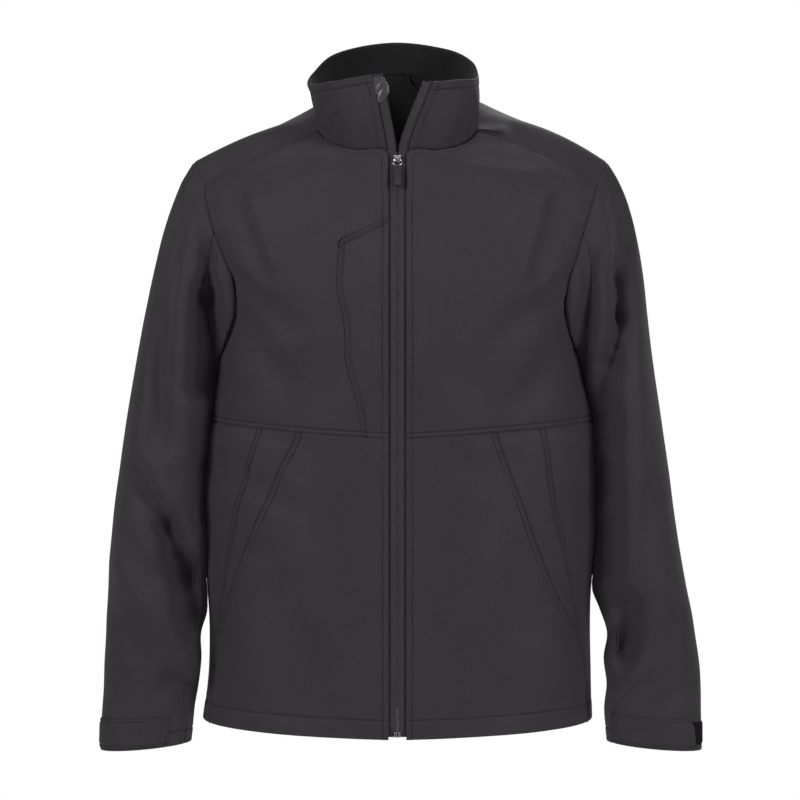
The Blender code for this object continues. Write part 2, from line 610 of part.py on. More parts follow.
def build_collar(grid, out):
    """Standing collar and the lining inside it."""
    rows, columns = grid.shape[:2]
    wall("collar", grid, out, cells(range(rows - 1), range(columns - 1)), CLOTH, "shell")
    wall("collar_facing", grid, out, cells(range(rows - 1), range(1, columns - 2)), FACING, "lining",
         lift=-CLOTH - FACING_GAP, inset=FACING_INSET)


def build_tape(side, half, collar, collar_out):
    """Zip tape under one front's edge, and the guard at the top of the wearer's right tape."""
    sign = SIDES[side]
    neck = row_index(half["rows"]["front"], "neck_front")
    column, beside = (0, 1) if side == "right" else (-1, -2)
    edge = np.concatenate((half["front"][:neck + 1, 0], collar[1:, column]))
    under = np.concatenate((half["front"][:neck + 1, 1], collar[1:, beside]))
    out = np.concatenate((half["front_out"][:neck + 1, 0], collar_out[1:, column]))
    beyond = np.concatenate((half["front_out"][:neck + 1, 1], collar_out[1:, beside]))
    share = TAPE_UNDER / np.linalg.norm(under - edge, axis=1, keepdims=True)
    share[neck] *= TAPE_WAIST
    hidden = edge + (under - edge) * share
    open_edge = edge.copy()
    open_edge[:, 0] = sign * np.maximum(TEETH_HALF, np.abs(edge[:, 0]) - OPEN_TAPE)
    grid = np.stack((open_edge, edge, hidden), axis=1)
    grid[0] += unit(grid[1] - grid[0]) * TAPE_RISE
    normals = np.stack((out, out, unit(out + (beyond - out) * share)), axis=1)
    wall("zip_tape_" + side, grid, normals, cells(range(len(grid) - 1), range(2)), TAPE, "tape",
         lift=-CLOTH - TAPE_LIFT)
    if side == "right":
        guard = grid[-GUARD_ROWS - 1:, :2].copy()
        guard[:, 0, 0] = -np.array(GUARD_REACH)
        wall("zip_guard", guard, normals[-GUARD_ROWS - 1:, :2], cells(range(GUARD_ROWS), range(1)),
             GUARD, "guard", lift=-CLOTH - TAPE_LIFT + SEAM_GAP + GUARD)


def eyelet(name, outer, hole, width, finish):
    """Short tube along X, at the origin."""
    curve = bpy.data.curves.new(name, "CURVE")
    curve.dimensions = "2D"
    curve.fill_mode = "BOTH"
    curve.extrude = width / 2
    for radius, sides in ((outer, 20), (hole, 16)):
        spline = curve.splines.new("POLY")
        spline.points.add(sides - 1)
        spline.use_cyclic_u = True
        for i, point in enumerate(spline.points):
            turn = 2 * math.pi * i / sides
            point.co = (radius * math.cos(turn), radius * math.sin(turn), 0.0, 1.0)
    guide = bpy.data.objects.new(name + "_outline", curve)
    bpy.data.collections[COLLECTION].objects.link(guide)
    bpy.context.view_layer.update()
    data = bpy.data.meshes.new_from_object(guide.evaluated_get(bpy.context.evaluated_depsgraph_get()))
    bpy.data.objects.remove(guide, do_unlink=True)
    mesh = bmesh.new()
    mesh.from_mesh(data)
    bmesh.ops.remove_doubles(mesh, verts=mesh.verts, dist=1e-6)
    bmesh.ops.rotate(mesh, verts=mesh.verts, matrix=Matrix.Rotation(math.radians(90), 3, "Y"))
    mesh.to_mesh(data)
    mesh.free()
    data.name = name
    return add_object(name, data, finish)


def build_zip(half):
    """Slider with its eye, the ring and pull tab that hang from it, and the box at the hem."""
    rows, grid = half["rows"]["front"], half["front"]
    top = row_index(rows, "neck_front")
    neck, below = grid[top, 0], grid[top - 1, 0]
    lean = math.atan2(neck[1] - below[1], neck[2] - below[2])
    share = (SLIDER_Z - neck[2]) / (below[2] - neck[2])
    seat = Vector((0.0, neck[1] + (below[1] - neck[1]) * share, SLIDER_Z))
    place = Matrix.Translation(seat) @ Matrix.Rotation(-lean, 4, "X")
    tape_face = CLOTH + TAPE_LIFT
    middle = tape_face - SLIDER_LIFT - SLIDER[1] / 2
    eye = Vector((0.0, middle - SLIDER[1] / 2 - EYE_OUTER + 0.0006, -0.0010))

    slider = block("zip_slider", SLIDER, 0.0012, "metal")
    slider.matrix_world = place @ Matrix.Translation((0.0, middle, 0.0))
    loop = eyelet("zip_eye", EYE_OUTER, EYE_HOLE, EYE_WIDTH, "metal")
    loop.matrix_world = place @ Matrix.Translation(eye)
    join = slider.modifiers.new("eye", "BOOLEAN")
    join.operation = "UNION"
    join.object = loop
    loop.hide_render = True
    loop.display_type = "WIRE"

    hinge = bpy.data.objects.new("pull_hinge", None)
    bpy.data.collections[COLLECTION].objects.link(hinge)
    hinge.matrix_world = place @ Matrix.Translation(eye)
    bpy.ops.mesh.primitive_torus_add(major_radius=RING_RADIUS, minor_radius=RING_WIRE,
                                     major_segments=28, minor_segments=8)
    made = bpy.context.active_object
    data = made.data
    bpy.data.objects.remove(made, do_unlink=True)
    data.transform(Matrix.Rotation(math.radians(90), 4, "X"))
    ring = add_object("zip_ring", data, "metal")
    ring.parent = hinge
    ring.location = (0.0, 0.0, -RING_RADIUS)
    tab = block("zip_pull", PULL_SIZE, 0.0011, "rubber")
    tab.parent = hinge
    tab.location = (0.0, 0.0, -2 * RING_RADIUS - RING_WIRE - SEAM_GAP - PULL_SIZE[2] / 2)

    box = block("zip_box", BOX_SIZE, 0.0008, "metal")
    hem = grid[0, 0]
    box.location = (0.0, hem[1] + tape_face - SEAM_GAP - BOX_SIZE[1] / 2,
                    hem[2] + TAPE_RISE + BOX_SIZE[2] / 2)


def build_hang_loop(half):
    """Strap loop that hangs from the neck seam inside the centre back."""
    neck = row_index(half["rows"]["back"], "neck_back")
    seam = slice(neck, neck + 3)
    inside = half["back"][seam, 0] - half["back_out"][seam, 0] * (CLOTH + 2 * SEAM_GAP)
    centre, reach = sum(LOOP_X) / 2, (LOOP_X[1] - LOOP_X[0]) / 2
    turns = np.linspace(0.0, math.pi, 13)
    sides = []
    for narrow in (0.0, LOOP_WIDTH):
        x = centre - (reach - narrow) * np.cos(turns)
        ends = np.interp(x, LOOP_X, np.interp(LOOP_X, inside[:, 0], inside[:, 1]))
        hang = np.interp(x, LOOP_X, np.interp(LOOP_X, inside[:, 0], inside[:, 2]))
        sides.append(np.stack((x, ends - LOOP_THICK, hang - 0.0008 - (LOOP_DROP - narrow) * np.sin(turns)),
                              axis=-1))
    grid = np.stack(sides, axis=1)
    normals = np.zeros(grid.shape) + (0.0, -1.0, 0.0)
    wall("hang_loop", grid, normals, cells(range(len(grid) - 1), range(1)), LOOP_THICK, "tape", inset=0.0)


def main():
    """Build the whole jacket."""
    for old in list(bpy.data.objects):
        bpy.data.objects.remove(old, do_unlink=True)
    bpy.context.scene.collection.children.link(bpy.data.collections.new(COLLECTION))

    halves = {side: body_half(side) for side in SIDES}
    for side in SIDES:
        halves[side]["sleeve"] = sleeve(side, halves[side])
        share_armhole(halves[side], halves[side]["sleeve"][1])
    collar, collar_out = collar_grid(halves)
    share_neck(halves, collar_out)
    for side in SIDES:
        build_fronts(side, halves[side])
        build_sleeve(side, halves[side])
        build_tape(side, halves[side], collar, collar_out)
    build_back(halves)
    build_collar(collar, collar_out)
    build_zip(halves["left"])
    build_hang_loop(halves["left"])


if __name__ == "__main__":
    main()
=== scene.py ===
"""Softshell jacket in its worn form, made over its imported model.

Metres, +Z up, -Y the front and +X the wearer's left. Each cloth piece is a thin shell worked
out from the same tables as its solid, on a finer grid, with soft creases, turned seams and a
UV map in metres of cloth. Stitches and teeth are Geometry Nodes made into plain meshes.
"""
import json
import math

import bmesh
import bpy
import numpy as np
from mathutils import Matrix, Vector, noise


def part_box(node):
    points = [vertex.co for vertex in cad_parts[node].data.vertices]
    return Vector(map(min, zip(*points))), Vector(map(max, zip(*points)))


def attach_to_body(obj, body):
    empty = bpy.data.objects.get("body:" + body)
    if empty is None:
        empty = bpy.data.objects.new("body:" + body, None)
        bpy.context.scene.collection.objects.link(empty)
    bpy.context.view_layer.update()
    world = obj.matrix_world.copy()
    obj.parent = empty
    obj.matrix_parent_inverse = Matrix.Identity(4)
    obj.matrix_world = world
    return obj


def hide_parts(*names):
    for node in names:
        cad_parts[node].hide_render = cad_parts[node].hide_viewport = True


bl_info = {
    "name": "Softshell Jacket",
    "version": (1, 0, 0),
    "blender": (4, 5, 0),
    "location": "3D View > Sidebar > Jacket",
    "description": "Dresses a packed softshell jacket in cloth, sewing and a zip",
    "category": "Object",
}

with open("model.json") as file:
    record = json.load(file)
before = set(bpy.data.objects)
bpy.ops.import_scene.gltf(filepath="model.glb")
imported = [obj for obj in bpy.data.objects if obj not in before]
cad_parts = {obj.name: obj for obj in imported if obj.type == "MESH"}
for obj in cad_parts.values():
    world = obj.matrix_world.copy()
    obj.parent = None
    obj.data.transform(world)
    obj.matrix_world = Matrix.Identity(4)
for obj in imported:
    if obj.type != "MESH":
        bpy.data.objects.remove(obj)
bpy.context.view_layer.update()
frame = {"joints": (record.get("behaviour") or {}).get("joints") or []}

# Cloth and gaps, as in the solids
FACING_GAP = 0.0007             # between the collar and its lining, where they curve
SEAM_GAP = 0.0003               # between pieces at a seam
SLEEVE_CLEAR = 0.0022           # between a sleeve and the body it hangs against
PRESSED_BELOW = -0.200          # the sleeves lie along the body below this height
ROUNDNESS = 2.2                 # 2 is an ellipse, more is squarer
FRONT_EDGE = 0.0100             # from the mid-plane to each front's edge
FRONT_WIDTHS = (0.046, 0.062, 0.040, 0.090)  # usual widths of the strips between a front's seams
TAPE_UNDER = 0.0080             # how far a tape runs under the front's edge
TAPE_WAIST = 0.12               # its share at the neck seam, where the front and collar part
TAPE_LIFT = 0.0006              # between the front's inner face and the tape
TEETH_HALF = 0.0009             # half of the channel that the teeth fill
OPEN_TAPE = 0.0100              # tape that shows beside each front above the slider
COIL_SINK = 0.0011              # from the tape's face to the middle of the teeth
COIL_INWARD = 0.0003            # from the tape's edge to the middle of the teeth
TAPE_RISE = 0.0030              # the tapes stop this far above the hem
TAPE_SHARES = (0, 0.07, 0.16, 0.32, 0.5, 0.68, 0.84, 0.93, 1)  # mesh lines across each half of a tape
TAB_TURNS = {"right": (126.0, -20.0), "left": (144.0, 24.0)}  # round the sleeve, in degrees
TAB_DEPTHS = (0.6895, 0.7215)   # top and bottom edge of a cuff tab, below the origin
TAB_CORNER = 0.0080             # radius of its free end
TAB_STITCH = 0.0022             # from its edge to its stitches
TAB_BOX = 0.0100                # from its fixed end to the cross row
TAB_LIFT = 0.0004               # from the sleeve to the tab, with a seam's gap
PATCH_MARGIN = 0.0035           # from the tab's long edges to the hook patch
PATCH_HIDDEN = 0.0060           # how far the patch runs under the tab
HOOK = 0.0010                   # thickness of the hook tape
HOOK_LIFT = 0.0012              # from the sleeve to the hook tape's face, with a seam's gap
SLEEVE_CORNERS = (0, 5, 15, 23, 28)  # columns of the solids' sleeves at which CAP_TURNS apply
LOOP_X = (0.0100, 0.0310)       # ends of the hang loop, across the neck
LOOP_DROP = 0.0140
LOOP_WIDTH = 0.0036
LOOP_THICK = 0.0010
LOOP_UNDER = 0.0008             # from the neck seam down to the loop's ends
COLLAR_TRIM = 0.0040            # its row of stitches stops this far from the zip
UNLINED = (7.0, 8.0)            # rows of the front's table beside the zip without the collar's lining
FIRST_ROW = 0.0018              # from a seam to the nearer of its two rows of stitches
SHOULDER_ROW = 0.0020
STITCH_RAISE = 0.0001           # from the cloth to the middle of a stitch
BAR_STEP, BAR_HALF, BAR_RAISE = 0.0008, 0.0026, 0.0004  # stitches of a bar tack
COLLAR_ROW = 0.0095             # from the collar's top edge to its stitches
RING = (0.0048, 0.0007)         # radius and wire of the ring that holds the pull
EYE = (0.0021, 0.0005)          # radius and wire of the bridge that holds the ring
SLIDER_BACK = 0.0020            # from the hinge to the slider's front plate

# How a piece rounds off at its rim: depth and width of a folded edge, of a sewn seam, and of the
# groove that a row of stitches draws. The cloth stands out by BAND between the rim and the groove.
FOLDED_RIM = (0.0005, 0.0008)
SEAM_RIM = (0.0014, 0.0011)
GROOVE = (0.0014, 0.0008)
BAND, BAND_SOFT = 0.00045, 0.0006
UNSTITCHED = 0.8                # share of the depth at a rim without topstitching

# Body below the underarm. half_* is the half width, front and back are depths from the
# mid-line, and the last five columns are where the seam lines cross, from the mid-plane.
LOWER_COLUMNS = ("name", "z_front", "z_side", "z_back", "half_right", "half_left", "front",
                 "back", "pocket", "inner_right", "outer_right", "inner_left", "outer_left")
LOWER_ROWS = (
    ("hem", -0.706, -0.7, -0.712, 0.2265, 0.2265, 0.123, 0.122, 0.06, 0.216, 0.216, 0.2187, 0.2187),
    ("low", -0.648, -0.645, -0.652, 0.2195, 0.225, 0.124, 0.124, 0.06, 0.2105, 0.2105, 0.2163, 0.2163),
    ("tip", -0.597, -0.594, -0.598, 0.2185, 0.2237, 0.126, 0.126, 0.058, 0.2042, 0.205, 0.2054, 0.2062),
    ("thigh", -0.545, -0.542, -0.545, 0.2215, 0.2255, 0.128, 0.128, 0.054, 0.1905, 0.1977, 0.18, 0.1979),
    ("seat", -0.495, -0.49, -0.494, 0.2255, 0.2315, 0.13, 0.129, 0.05, 0.1733, 0.1885, 0.16, 0.1869),
    ("hip", -0.445, -0.438, -0.443, 0.2268, 0.232, 0.131, 0.129, 0.044, 0.1516, 0.1786, 0.142, 0.1747),
    ("pocket_bar", -0.405, -0.396, -0.401, 0.224, 0.2305, 0.132, 0.128, 0.039, 0.1339, 0.1679,
     0.1265, 0.169),
    ("waist", -0.363, -0.351, -0.357, 0.218, 0.227, 0.132, 0.127, 0.0345, 0.1144, 0.1548, 0.1132, 0.1628),
    ("ribs", -0.325, -0.32, -0.322, 0.212, 0.22, 0.134, 0.13, 0.039, 0.112, 0.154, 0.112, 0.159),
    ("chest", -0.3, -0.298, -0.299, 0.2085, 0.2145, 0.136, 0.133, 0.046, 0.11, 0.153, 0.111, 0.156),
    ("underarm", -0.278, -0.278, -0.278, 0.206, 0.211, 0.138, 0.136, 0.0515, 0.108, 0.152, 0.11, 0.154),
)

# Above the underarm each row runs from the zip, the neck seam or the centre back (l) to the
# armhole (a). sweep is how far it turns round the body in degrees, bow brings its middle
# forward, sag lifts it, and steps is how many mesh rows lead up to it.
UPPER_COLUMNS = ("name", "steps", "l_x", "l_y", "l_z", "a_right", "a_left", "a_y", "a_z",
                 "sweep", "bow", "sag", "pocket", "inner", "outer")
FRONT_ROWS = (
    ("axilla", 1, 0.01, -0.139, -0.262, 0.1965, 0.202, -0.04, -0.263, 78, 0, 0, 0.0522, 0.106, 0.15),
    ("breast", 1, 0.01, -0.1395, -0.232, 0.1835, 0.1905, -0.063, -0.228, 66, 0, 0, 0.054, 0.1, 0.143),
    ("notch", 1, 0.01, -0.1375, -0.19, 0.185, 0.1935, -0.07, -0.192, 60, 0, -0.004, 0.0615, 0.104, 0.146),
    ("pocket_top", 1, 0.01, -0.1235, -0.1195, 0.196, 0.2025, -0.068, -0.163, 54, 0.002, -0.016,
     0.06, 0.108, 0.154),
    ("collarbone", 1, 0.0105, -0.107, -0.086, 0.208, 0.211, -0.061, -0.135, 48, 0.006, -0.01,
     0.064, 0.114, 0.163),
    ("neck_front", 2, 0.0135, -0.083, -0.041, 0.2145, 0.218, -0.054, -0.114, 40, 0.012, -0.002,
     0.078, 0.128, 0.174),
    ("neck_turn", 2, 0.05, -0.0715, -0.04, 0.218, 0.222, -0.048, -0.101, 32, 0.012, 0, 0.1, 0.144, 0.182),
    ("neck_side", 2, 0.078, -0.047, -0.0315, 0.22, 0.2255, -0.042, -0.09, 24, 0.01, 0.001,
     0.118, 0.156, 0.187),
    ("shoulder_seam", 2, 0.0925, -0.018, -0.0185, 0.2208, 0.2282, -0.035, -0.081, 18, 0.008,
     0.002, 0.127, 0.163, 0.19),
)
BACK_ROWS = (
    ("axilla", 1, 0, 0.1375, -0.247, 0.2, 0.205, 0.038, -0.259, 80, 0, 0, 0, 0, 0),
    ("blade_low", 1, 0, 0.139, -0.205, 0.195, 0.2005, 0.064, -0.223, 72, 0, 0, 0, 0, 0),
    ("blade", 1, 0, 0.1375, -0.15, 0.198, 0.2045, 0.074, -0.181, 66, 0, 0, 0, 0, 0),
    ("blade_top", 1, 0, 0.131, -0.09, 0.207, 0.2135, 0.072, -0.139, 58, 0, 0, 0, 0, 0),
    ("nape_low", 1, 0, 0.118, -0.03, 0.217, 0.2235, 0.06, -0.103, 48, -0.002, 0, 0, 0, 0),
    ("nape", 2, 0, 0.1, 0.015, 0.225, 0.2315, 0.043, -0.079, 38, -0.004, 0, 0, 0, 0),
    ("neck_back", 2, 0, 0.084, 0.046, 0.2295, 0.2362, 0.028, -0.066, 28, -0.004, -0.004, 0, 0, 0),
    ("neck_near", 1, 0.024, 0.0815, 0.044, 0.231, 0.2378, 0.021, -0.062, 24, -0.004, -0.004, 0, 0, 0),
    ("neck_curve", 1, 0.05, 0.0725, 0.037, 0.2322, 0.239, 0.014, -0.0585, 20, -0.003, -0.006, 0, 0, 0),
    ("neck_base", 1, 0.08, 0.043, 0.012, 0.2335, 0.2405, 0.003, -0.056, 14, -0.001, 0.001, 0, 0, 0),
    ("ridge", 1, 0.0925, 0.01, -0.0065, 0.2325, 0.24, -0.01, -0.057, 10, 0.002, 0.0085, 0, 0, 0),
    ("shoulder_seam", 2, 0.0925, -0.018, -0.0185, 0.2208, 0.2282, -0.035, -0.081, 18, 0.008,
     0.002, 0, 0, 0),
)
SHOULDER_EASE = {"right": 0.0, "left": 0.0065}  # extra rise of each shoulder's middle
EASE_SWEEP = (48.0, 24.0)       # rows that turn less than this take part, then take all of it

# Sleeve below the armhole: inner and outer edge from the mid-plane as seen from the front,
# middle and depth from front to back, and how much lower the outer edge hangs.
SLEEVE_COLUMNS = ("z", "in_right", "out_right", "in_left", "out_left", "middle", "depth", "tilt")
SLEEVE_ROWS = (
    (-0.315, 0.2060, 0.3070, 0.2130, 0.2996, 0.000, 0.158, 0.000),
    (-0.345, 0.2095, 0.3120, 0.2170, 0.3045, -0.002, 0.157, 0.000),
    (-0.380, 0.2130, 0.3175, 0.2205, 0.3095, -0.004, 0.155, 0.000),
    (-0.415, 0.2150, 0.3225, 0.2225, 0.3142, -0.007, 0.152, 0.000),
    (-0.450, 0.2165, 0.3272, 0.2235, 0.3186, -0.010, 0.148, 0.000),
    (-0.485, 0.2165, 0.3305, 0.2230, 0.3242, -0.012, 0.144, 0.000),
    (-0.515, 0.2160, 0.3330, 0.2220, 0.3292, -0.015, 0.138, 0.000),
    (-0.545, 0.2165, 0.3345, 0.2235, 0.3345, -0.018, 0.130, 0.001),
    (-0.575, 0.2195, 0.3362, 0.2345, 0.3410, -0.021, 0.118, 0.002),
    (-0.600, 0.2270, 0.3370, 0.2425, 0.3450, -0.023, 0.108, 0.002),
    (-0.630, 0.2268, 0.3390, 0.2385, 0.3495, -0.026, 0.098, 0.003),
    (-0.660, 0.2300, 0.3400, 0.2420, 0.3510, -0.029, 0.088, 0.003),
    (-0.689, 0.2345, 0.3420, 0.2390, 0.3512, -0.032, 0.078, 0.004),
    (-0.701, 0.2355, 0.3424, 0.2395, 0.3515, -0.033, 0.074, 0.004),
    (-0.713, 0.2368, 0.3428, 0.2408, 0.3516, -0.034, 0.071, 0.005),
    (-0.722, 0.2380, 0.3432, 0.2418, 0.3517, -0.035, 0.069, 0.005),
    (-0.727, 0.2385, 0.3434, 0.2422, 0.3517, -0.035, 0.068, 0.005),
)
CAP_OUT = (0.62, 0.38)          # how the cap leaves the armhole: its top and its underarm, outwards
CAP_DOWN = (-0.80, -0.90)       # the same, downwards
CAP_SIDEWAYS = -0.38            # towards the front and the back
CAP_ARRIVE = 1.05               # how strongly it arrives along the sleeve
CAP_STEPS = 7                   # mesh rows from the armhole to the first sleeve row
CAP_SWELL = {"right": 0.70, "left": 0.88}  # how far the sleeve head rounds out
# Where the armhole's corners go round the sleeve: 0 is its outer edge, 180 its inner edge.
CAP_TURNS = (("underarm", 180.0), ("front_seam", 150.0), ("ridge", 0.0), ("back_seam", -148.0),
             ("underarm", -180.0))

# Largest folds, as lines seen from the front. depth is inwards, so a ridge is negative.
FOLD_COLUMNS = ("side", "x1", "z1", "x2", "z2", "width", "depth")
FOLDS = (
    ("right", 0.270, -0.170, 0.282, -0.385, 0.016, 0.0080),
    ("right", 0.304, -0.410, 0.240, -0.520, 0.017, 0.0110),
    ("right", 0.262, -0.520, 0.232, -0.535, 0.020, 0.0130),
    ("right", 0.318, -0.515, 0.262, -0.583, 0.014, -0.0060),
    ("right", 0.262, -0.655, 0.240, -0.668, 0.018, 0.0090),
    ("right", 0.252, -0.600, 0.240, -0.640, 0.012, -0.0050),
    ("right", 0.241, -0.080, 0.246, -0.125, 0.010, -0.0040),
    ("left", 0.250, -0.085, 0.268, -0.225, 0.015, 0.0080),
    ("left", 0.268, -0.225, 0.240, -0.350, 0.016, 0.0100),
    ("left", 0.246, -0.350, 0.243, -0.520, 0.015, 0.0080),
    ("left", 0.296, -0.440, 0.262, -0.545, 0.016, 0.0060),
    ("left", 0.268, -0.565, 0.262, -0.610, 0.016, 0.0110),
    ("left", 0.280, -0.625, 0.250, -0.665, 0.012, -0.0050),
)

# Top edge of the collar: share of the way round from the wearer's right front corner, then
# the place.
COLLAR_TOP = (
    (0.00, -0.0290, -0.0870, 0.0445),
    (0.11, -0.0640, -0.0760, 0.0385),
    (0.21, -0.0940, -0.0470, 0.0335),
    (0.29, -0.1035, -0.0120, 0.0350),
    (0.36, -0.0970, 0.0200, 0.0480),
    (0.42, -0.0740, 0.0430, 0.0690),
    (0.50, -0.0060, 0.0610, 0.0830),
    (0.58, 0.0620, 0.0460, 0.0740),
    (0.64, 0.0860, 0.0230, 0.0610),
    (0.71, 0.0930, -0.0100, 0.0440),
    (0.79, 0.0880, -0.0450, 0.0400),
    (0.89, 0.0700, -0.0740, 0.0385),
    (1.00, 0.0410, -0.0870, 0.0360),
)
COLLAR_BOW = 0.0020             # how far the collar's middle rounds out
COLLAR_FLARE = 1.25             # above 1 the front edges part mostly near the top


# Soft creases over the body, as lines seen from the front or from behind. depth is inwards,
# so a ridge is negative. The outer part of each line fades over width.
CREASE_COLUMNS = ("face", "x1", "z1", "x2", "z2", "width", "depth")
BODY_CREASES = (
    ("front", -0.178, -0.098, -0.152, -0.176, 0.013, 0.0035),
    ("front", -0.165, -0.105, -0.140, -0.165, 0.012, -0.0026),
    ("front", -0.176, -0.190, -0.120, -0.238, 0.016, 0.0029),
    ("front", -0.183, -0.222, -0.132, -0.290, 0.018, 0.0035),
    ("front", -0.070, -0.030, -0.030, -0.062, 0.012, 0.0026),
    ("front", -0.080, -0.050, -0.020, -0.092, 0.014, -0.0022),
    ("front", -0.195, -0.345, -0.100, -0.372, 0.012, 0.0026),
    ("front", -0.200, -0.400, -0.120, -0.440, 0.020, 0.0029),
    ("front", -0.155, -0.500, -0.090, -0.660, 0.026, 0.0032),
    ("front", -0.060, -0.420, -0.035, -0.640, 0.028, 0.0029),
    ("front", -0.110, -0.430, -0.070, -0.640, 0.024, -0.0032),
    ("front", 0.180, -0.096, 0.160, -0.180, 0.013, 0.0038),
    ("front", 0.165, -0.100, 0.140, -0.170, 0.013, -0.0026),
    ("front", 0.186, -0.195, 0.110, -0.255, 0.017, 0.0035),
    ("front", 0.190, -0.250, 0.140, -0.330, 0.018, 0.0032),
    ("front", 0.070, -0.026, 0.120, -0.022, 0.008, -0.0042),
    ("front", 0.060, -0.046, 0.150, -0.050, 0.012, 0.0026),
    ("front", 0.100, -0.362, 0.200, -0.352, 0.012, 0.0029),
    ("front", 0.060, -0.400, 0.040, -0.640, 0.028, 0.0029),
    ("front", 0.105, -0.440, 0.085, -0.650, 0.024, -0.0032),
    ("front", 0.140, -0.500, 0.120, -0.660, 0.022, 0.0029),
    ("back", -0.190, -0.120, -0.150, -0.230, 0.016, 0.0076),
    ("back", 0.194, -0.120, 0.150, -0.235, 0.016, 0.0076),
    ("back", -0.195, -0.240, -0.110, -0.330, 0.020, 0.0076),
    ("back", 0.198, -0.240, 0.115, -0.325, 0.020, 0.0076),
    ("back", -0.205, -0.340, -0.060, -0.380, 0.018, 0.0081),
    ("back", 0.210, -0.335, 0.040, -0.372, 0.018, 0.0081),
    ("back", -0.120, -0.410, 0.110, -0.400, 0.024, 0.0058),
    ("back", -0.090, -0.350, 0.080, -0.362, 0.018, -0.0058),
    ("back", -0.110, -0.450, -0.120, -0.680, 0.026, 0.0068),
    ("back", 0.060, -0.450, 0.070, -0.680, 0.028, 0.0068),
    ("back", -0.020, -0.440, -0.030, -0.680, 0.030, -0.0063),
    ("back", 0.140, -0.440, 0.150, -0.680, 0.026, -0.0063),
    ("back", -0.070, 0.000, -0.130, -0.060, 0.018, 0.0052),
    ("back", 0.070, 0.000, 0.130, -0.060, 0.018, 0.0052),
)
SLEEVE_CREASES = (
    ("right", "front", 0.212, -0.150, 0.220, -0.205, 0.010, 0.0090),
    ("right", "front", 0.220, -0.205, 0.224, -0.310, 0.014, 0.0200),
    ("right", "front", 0.226, -0.095, 0.240, -0.215, 0.010, -0.0030),
    ("right", "front", 0.262, -0.180, 0.266, -0.230, 0.014, 0.0060),
    ("right", "front", 0.266, -0.230, 0.266, -0.370, 0.014, 0.0110),
    ("right", "front", 0.292, -0.220, 0.300, -0.370, 0.014, -0.0030),
    ("right", "front", 0.300, -0.405, 0.262, -0.468, 0.009, 0.0080),
    ("right", "front", 0.262, -0.468, 0.244, -0.520, 0.013, 0.0220),
    ("right", "front", 0.244, -0.520, 0.236, -0.575, 0.014, 0.0240),
    ("right", "front", 0.268, -0.425, 0.228, -0.470, 0.010, -0.0040),
    ("right", "front", 0.222, -0.400, 0.220, -0.460, 0.010, 0.0070),
    ("right", "front", 0.254, -0.588, 0.238, -0.622, 0.0050, -0.0070),
    ("right", "front", 0.262, -0.645, 0.238, -0.655, 0.010, 0.0080),
    ("right", "front", 0.335, -0.560, 0.285, -0.625, 0.012, 0.0030),
    ("right", "front", 0.333, -0.672, 0.322, -0.678, 0.005, 0.0020),
    ("left", "front", 0.214, -0.160, 0.220, -0.250, 0.010, 0.0040),
    ("left", "front", 0.236, -0.090, 0.232, -0.200, 0.009, -0.0030),
    ("left", "front", 0.257, -0.115, 0.259, -0.145, 0.011, 0.0090),
    ("left", "front", 0.259, -0.145, 0.252, -0.185, 0.012, 0.0190),
    ("left", "front", 0.252, -0.185, 0.250, -0.245, 0.013, 0.0230),
    ("left", "front", 0.250, -0.245, 0.242, -0.285, 0.014, 0.0240),
    ("left", "front", 0.242, -0.285, 0.231, -0.330, 0.015, 0.0240),
    ("left", "front", 0.231, -0.330, 0.233, -0.420, 0.015, 0.0220),
    ("left", "front", 0.233, -0.420, 0.240, -0.560, 0.016, 0.0200),
    ("left", "front", 0.278, -0.180, 0.278, -0.300, 0.014, -0.0020),
    ("left", "front", 0.278, -0.300, 0.266, -0.420, 0.014, -0.0040),
    ("left", "front", 0.264, -0.560, 0.262, -0.620, 0.012, 0.0120),
    ("left", "front", 0.279, -0.630, 0.244, -0.675, 0.006, -0.0070),
    ("left", "front", 0.246, -0.585, 0.252, -0.612, 0.005, -0.0050),
    ("left", "front", 0.330, -0.560, 0.290, -0.620, 0.012, 0.0030),
    ("left", "front", 0.338, -0.650, 0.300, -0.678, 0.008, 0.0024),
    ("right", "back", 0.230, -0.150, 0.250, -0.260, 0.012, 0.0047),
    ("right", "back", 0.300, -0.330, 0.235, -0.420, 0.013, 0.0072),
    ("right", "back", 0.318, -0.430, 0.250, -0.510, 0.012, 0.0061),
    ("right", "back", 0.315, -0.380, 0.250, -0.465, 0.011, -0.0054),
    ("right", "back", 0.325, -0.540, 0.260, -0.610, 0.010, 0.0050),
    ("right", "back", 0.320, -0.620, 0.262, -0.665, 0.009, 0.0043),
    ("left", "back", 0.236, -0.150, 0.256, -0.260, 0.012, 0.0047),
    ("left", "back", 0.300, -0.320, 0.240, -0.415, 0.013, 0.0072),
    ("left", "back", 0.315, -0.425, 0.252, -0.510, 0.012, 0.0061),
    ("left", "back", 0.312, -0.372, 0.255, -0.455, 0.011, -0.0054),
    ("left", "back", 0.326, -0.540, 0.270, -0.610, 0.010, 0.0050),
    ("left", "back", 0.322, -0.620, 0.270, -0.665, 0.009, 0.0043),
)
COLLAR_CREASES = (
    ("front", -0.076, 0.036, -0.077, 0.010, 0.005, 0.0030),
    ("front", -0.069, 0.034, -0.068, 0.004, 0.006, -0.0016),
    ("front", -0.070, -0.002, -0.077, -0.030, 0.005, 0.0024),
    ("front", -0.085, -0.002, -0.078, -0.026, 0.005, 0.0020),
    ("front", 0.084, 0.018, 0.072, -0.026, 0.006, 0.0034),
    ("front", 0.074, 0.022, 0.062, -0.022, 0.007, -0.0018),
    ("back", -0.050, 0.070, -0.040, 0.040, 0.008, 0.0012),
    ("back", 0.045, 0.072, 0.052, 0.040, 0.008, 0.0012),
)
RIPPLE = 0.0006                 # unevenness of the cloth between its creases
RIPPLE_SIZE = 0.045
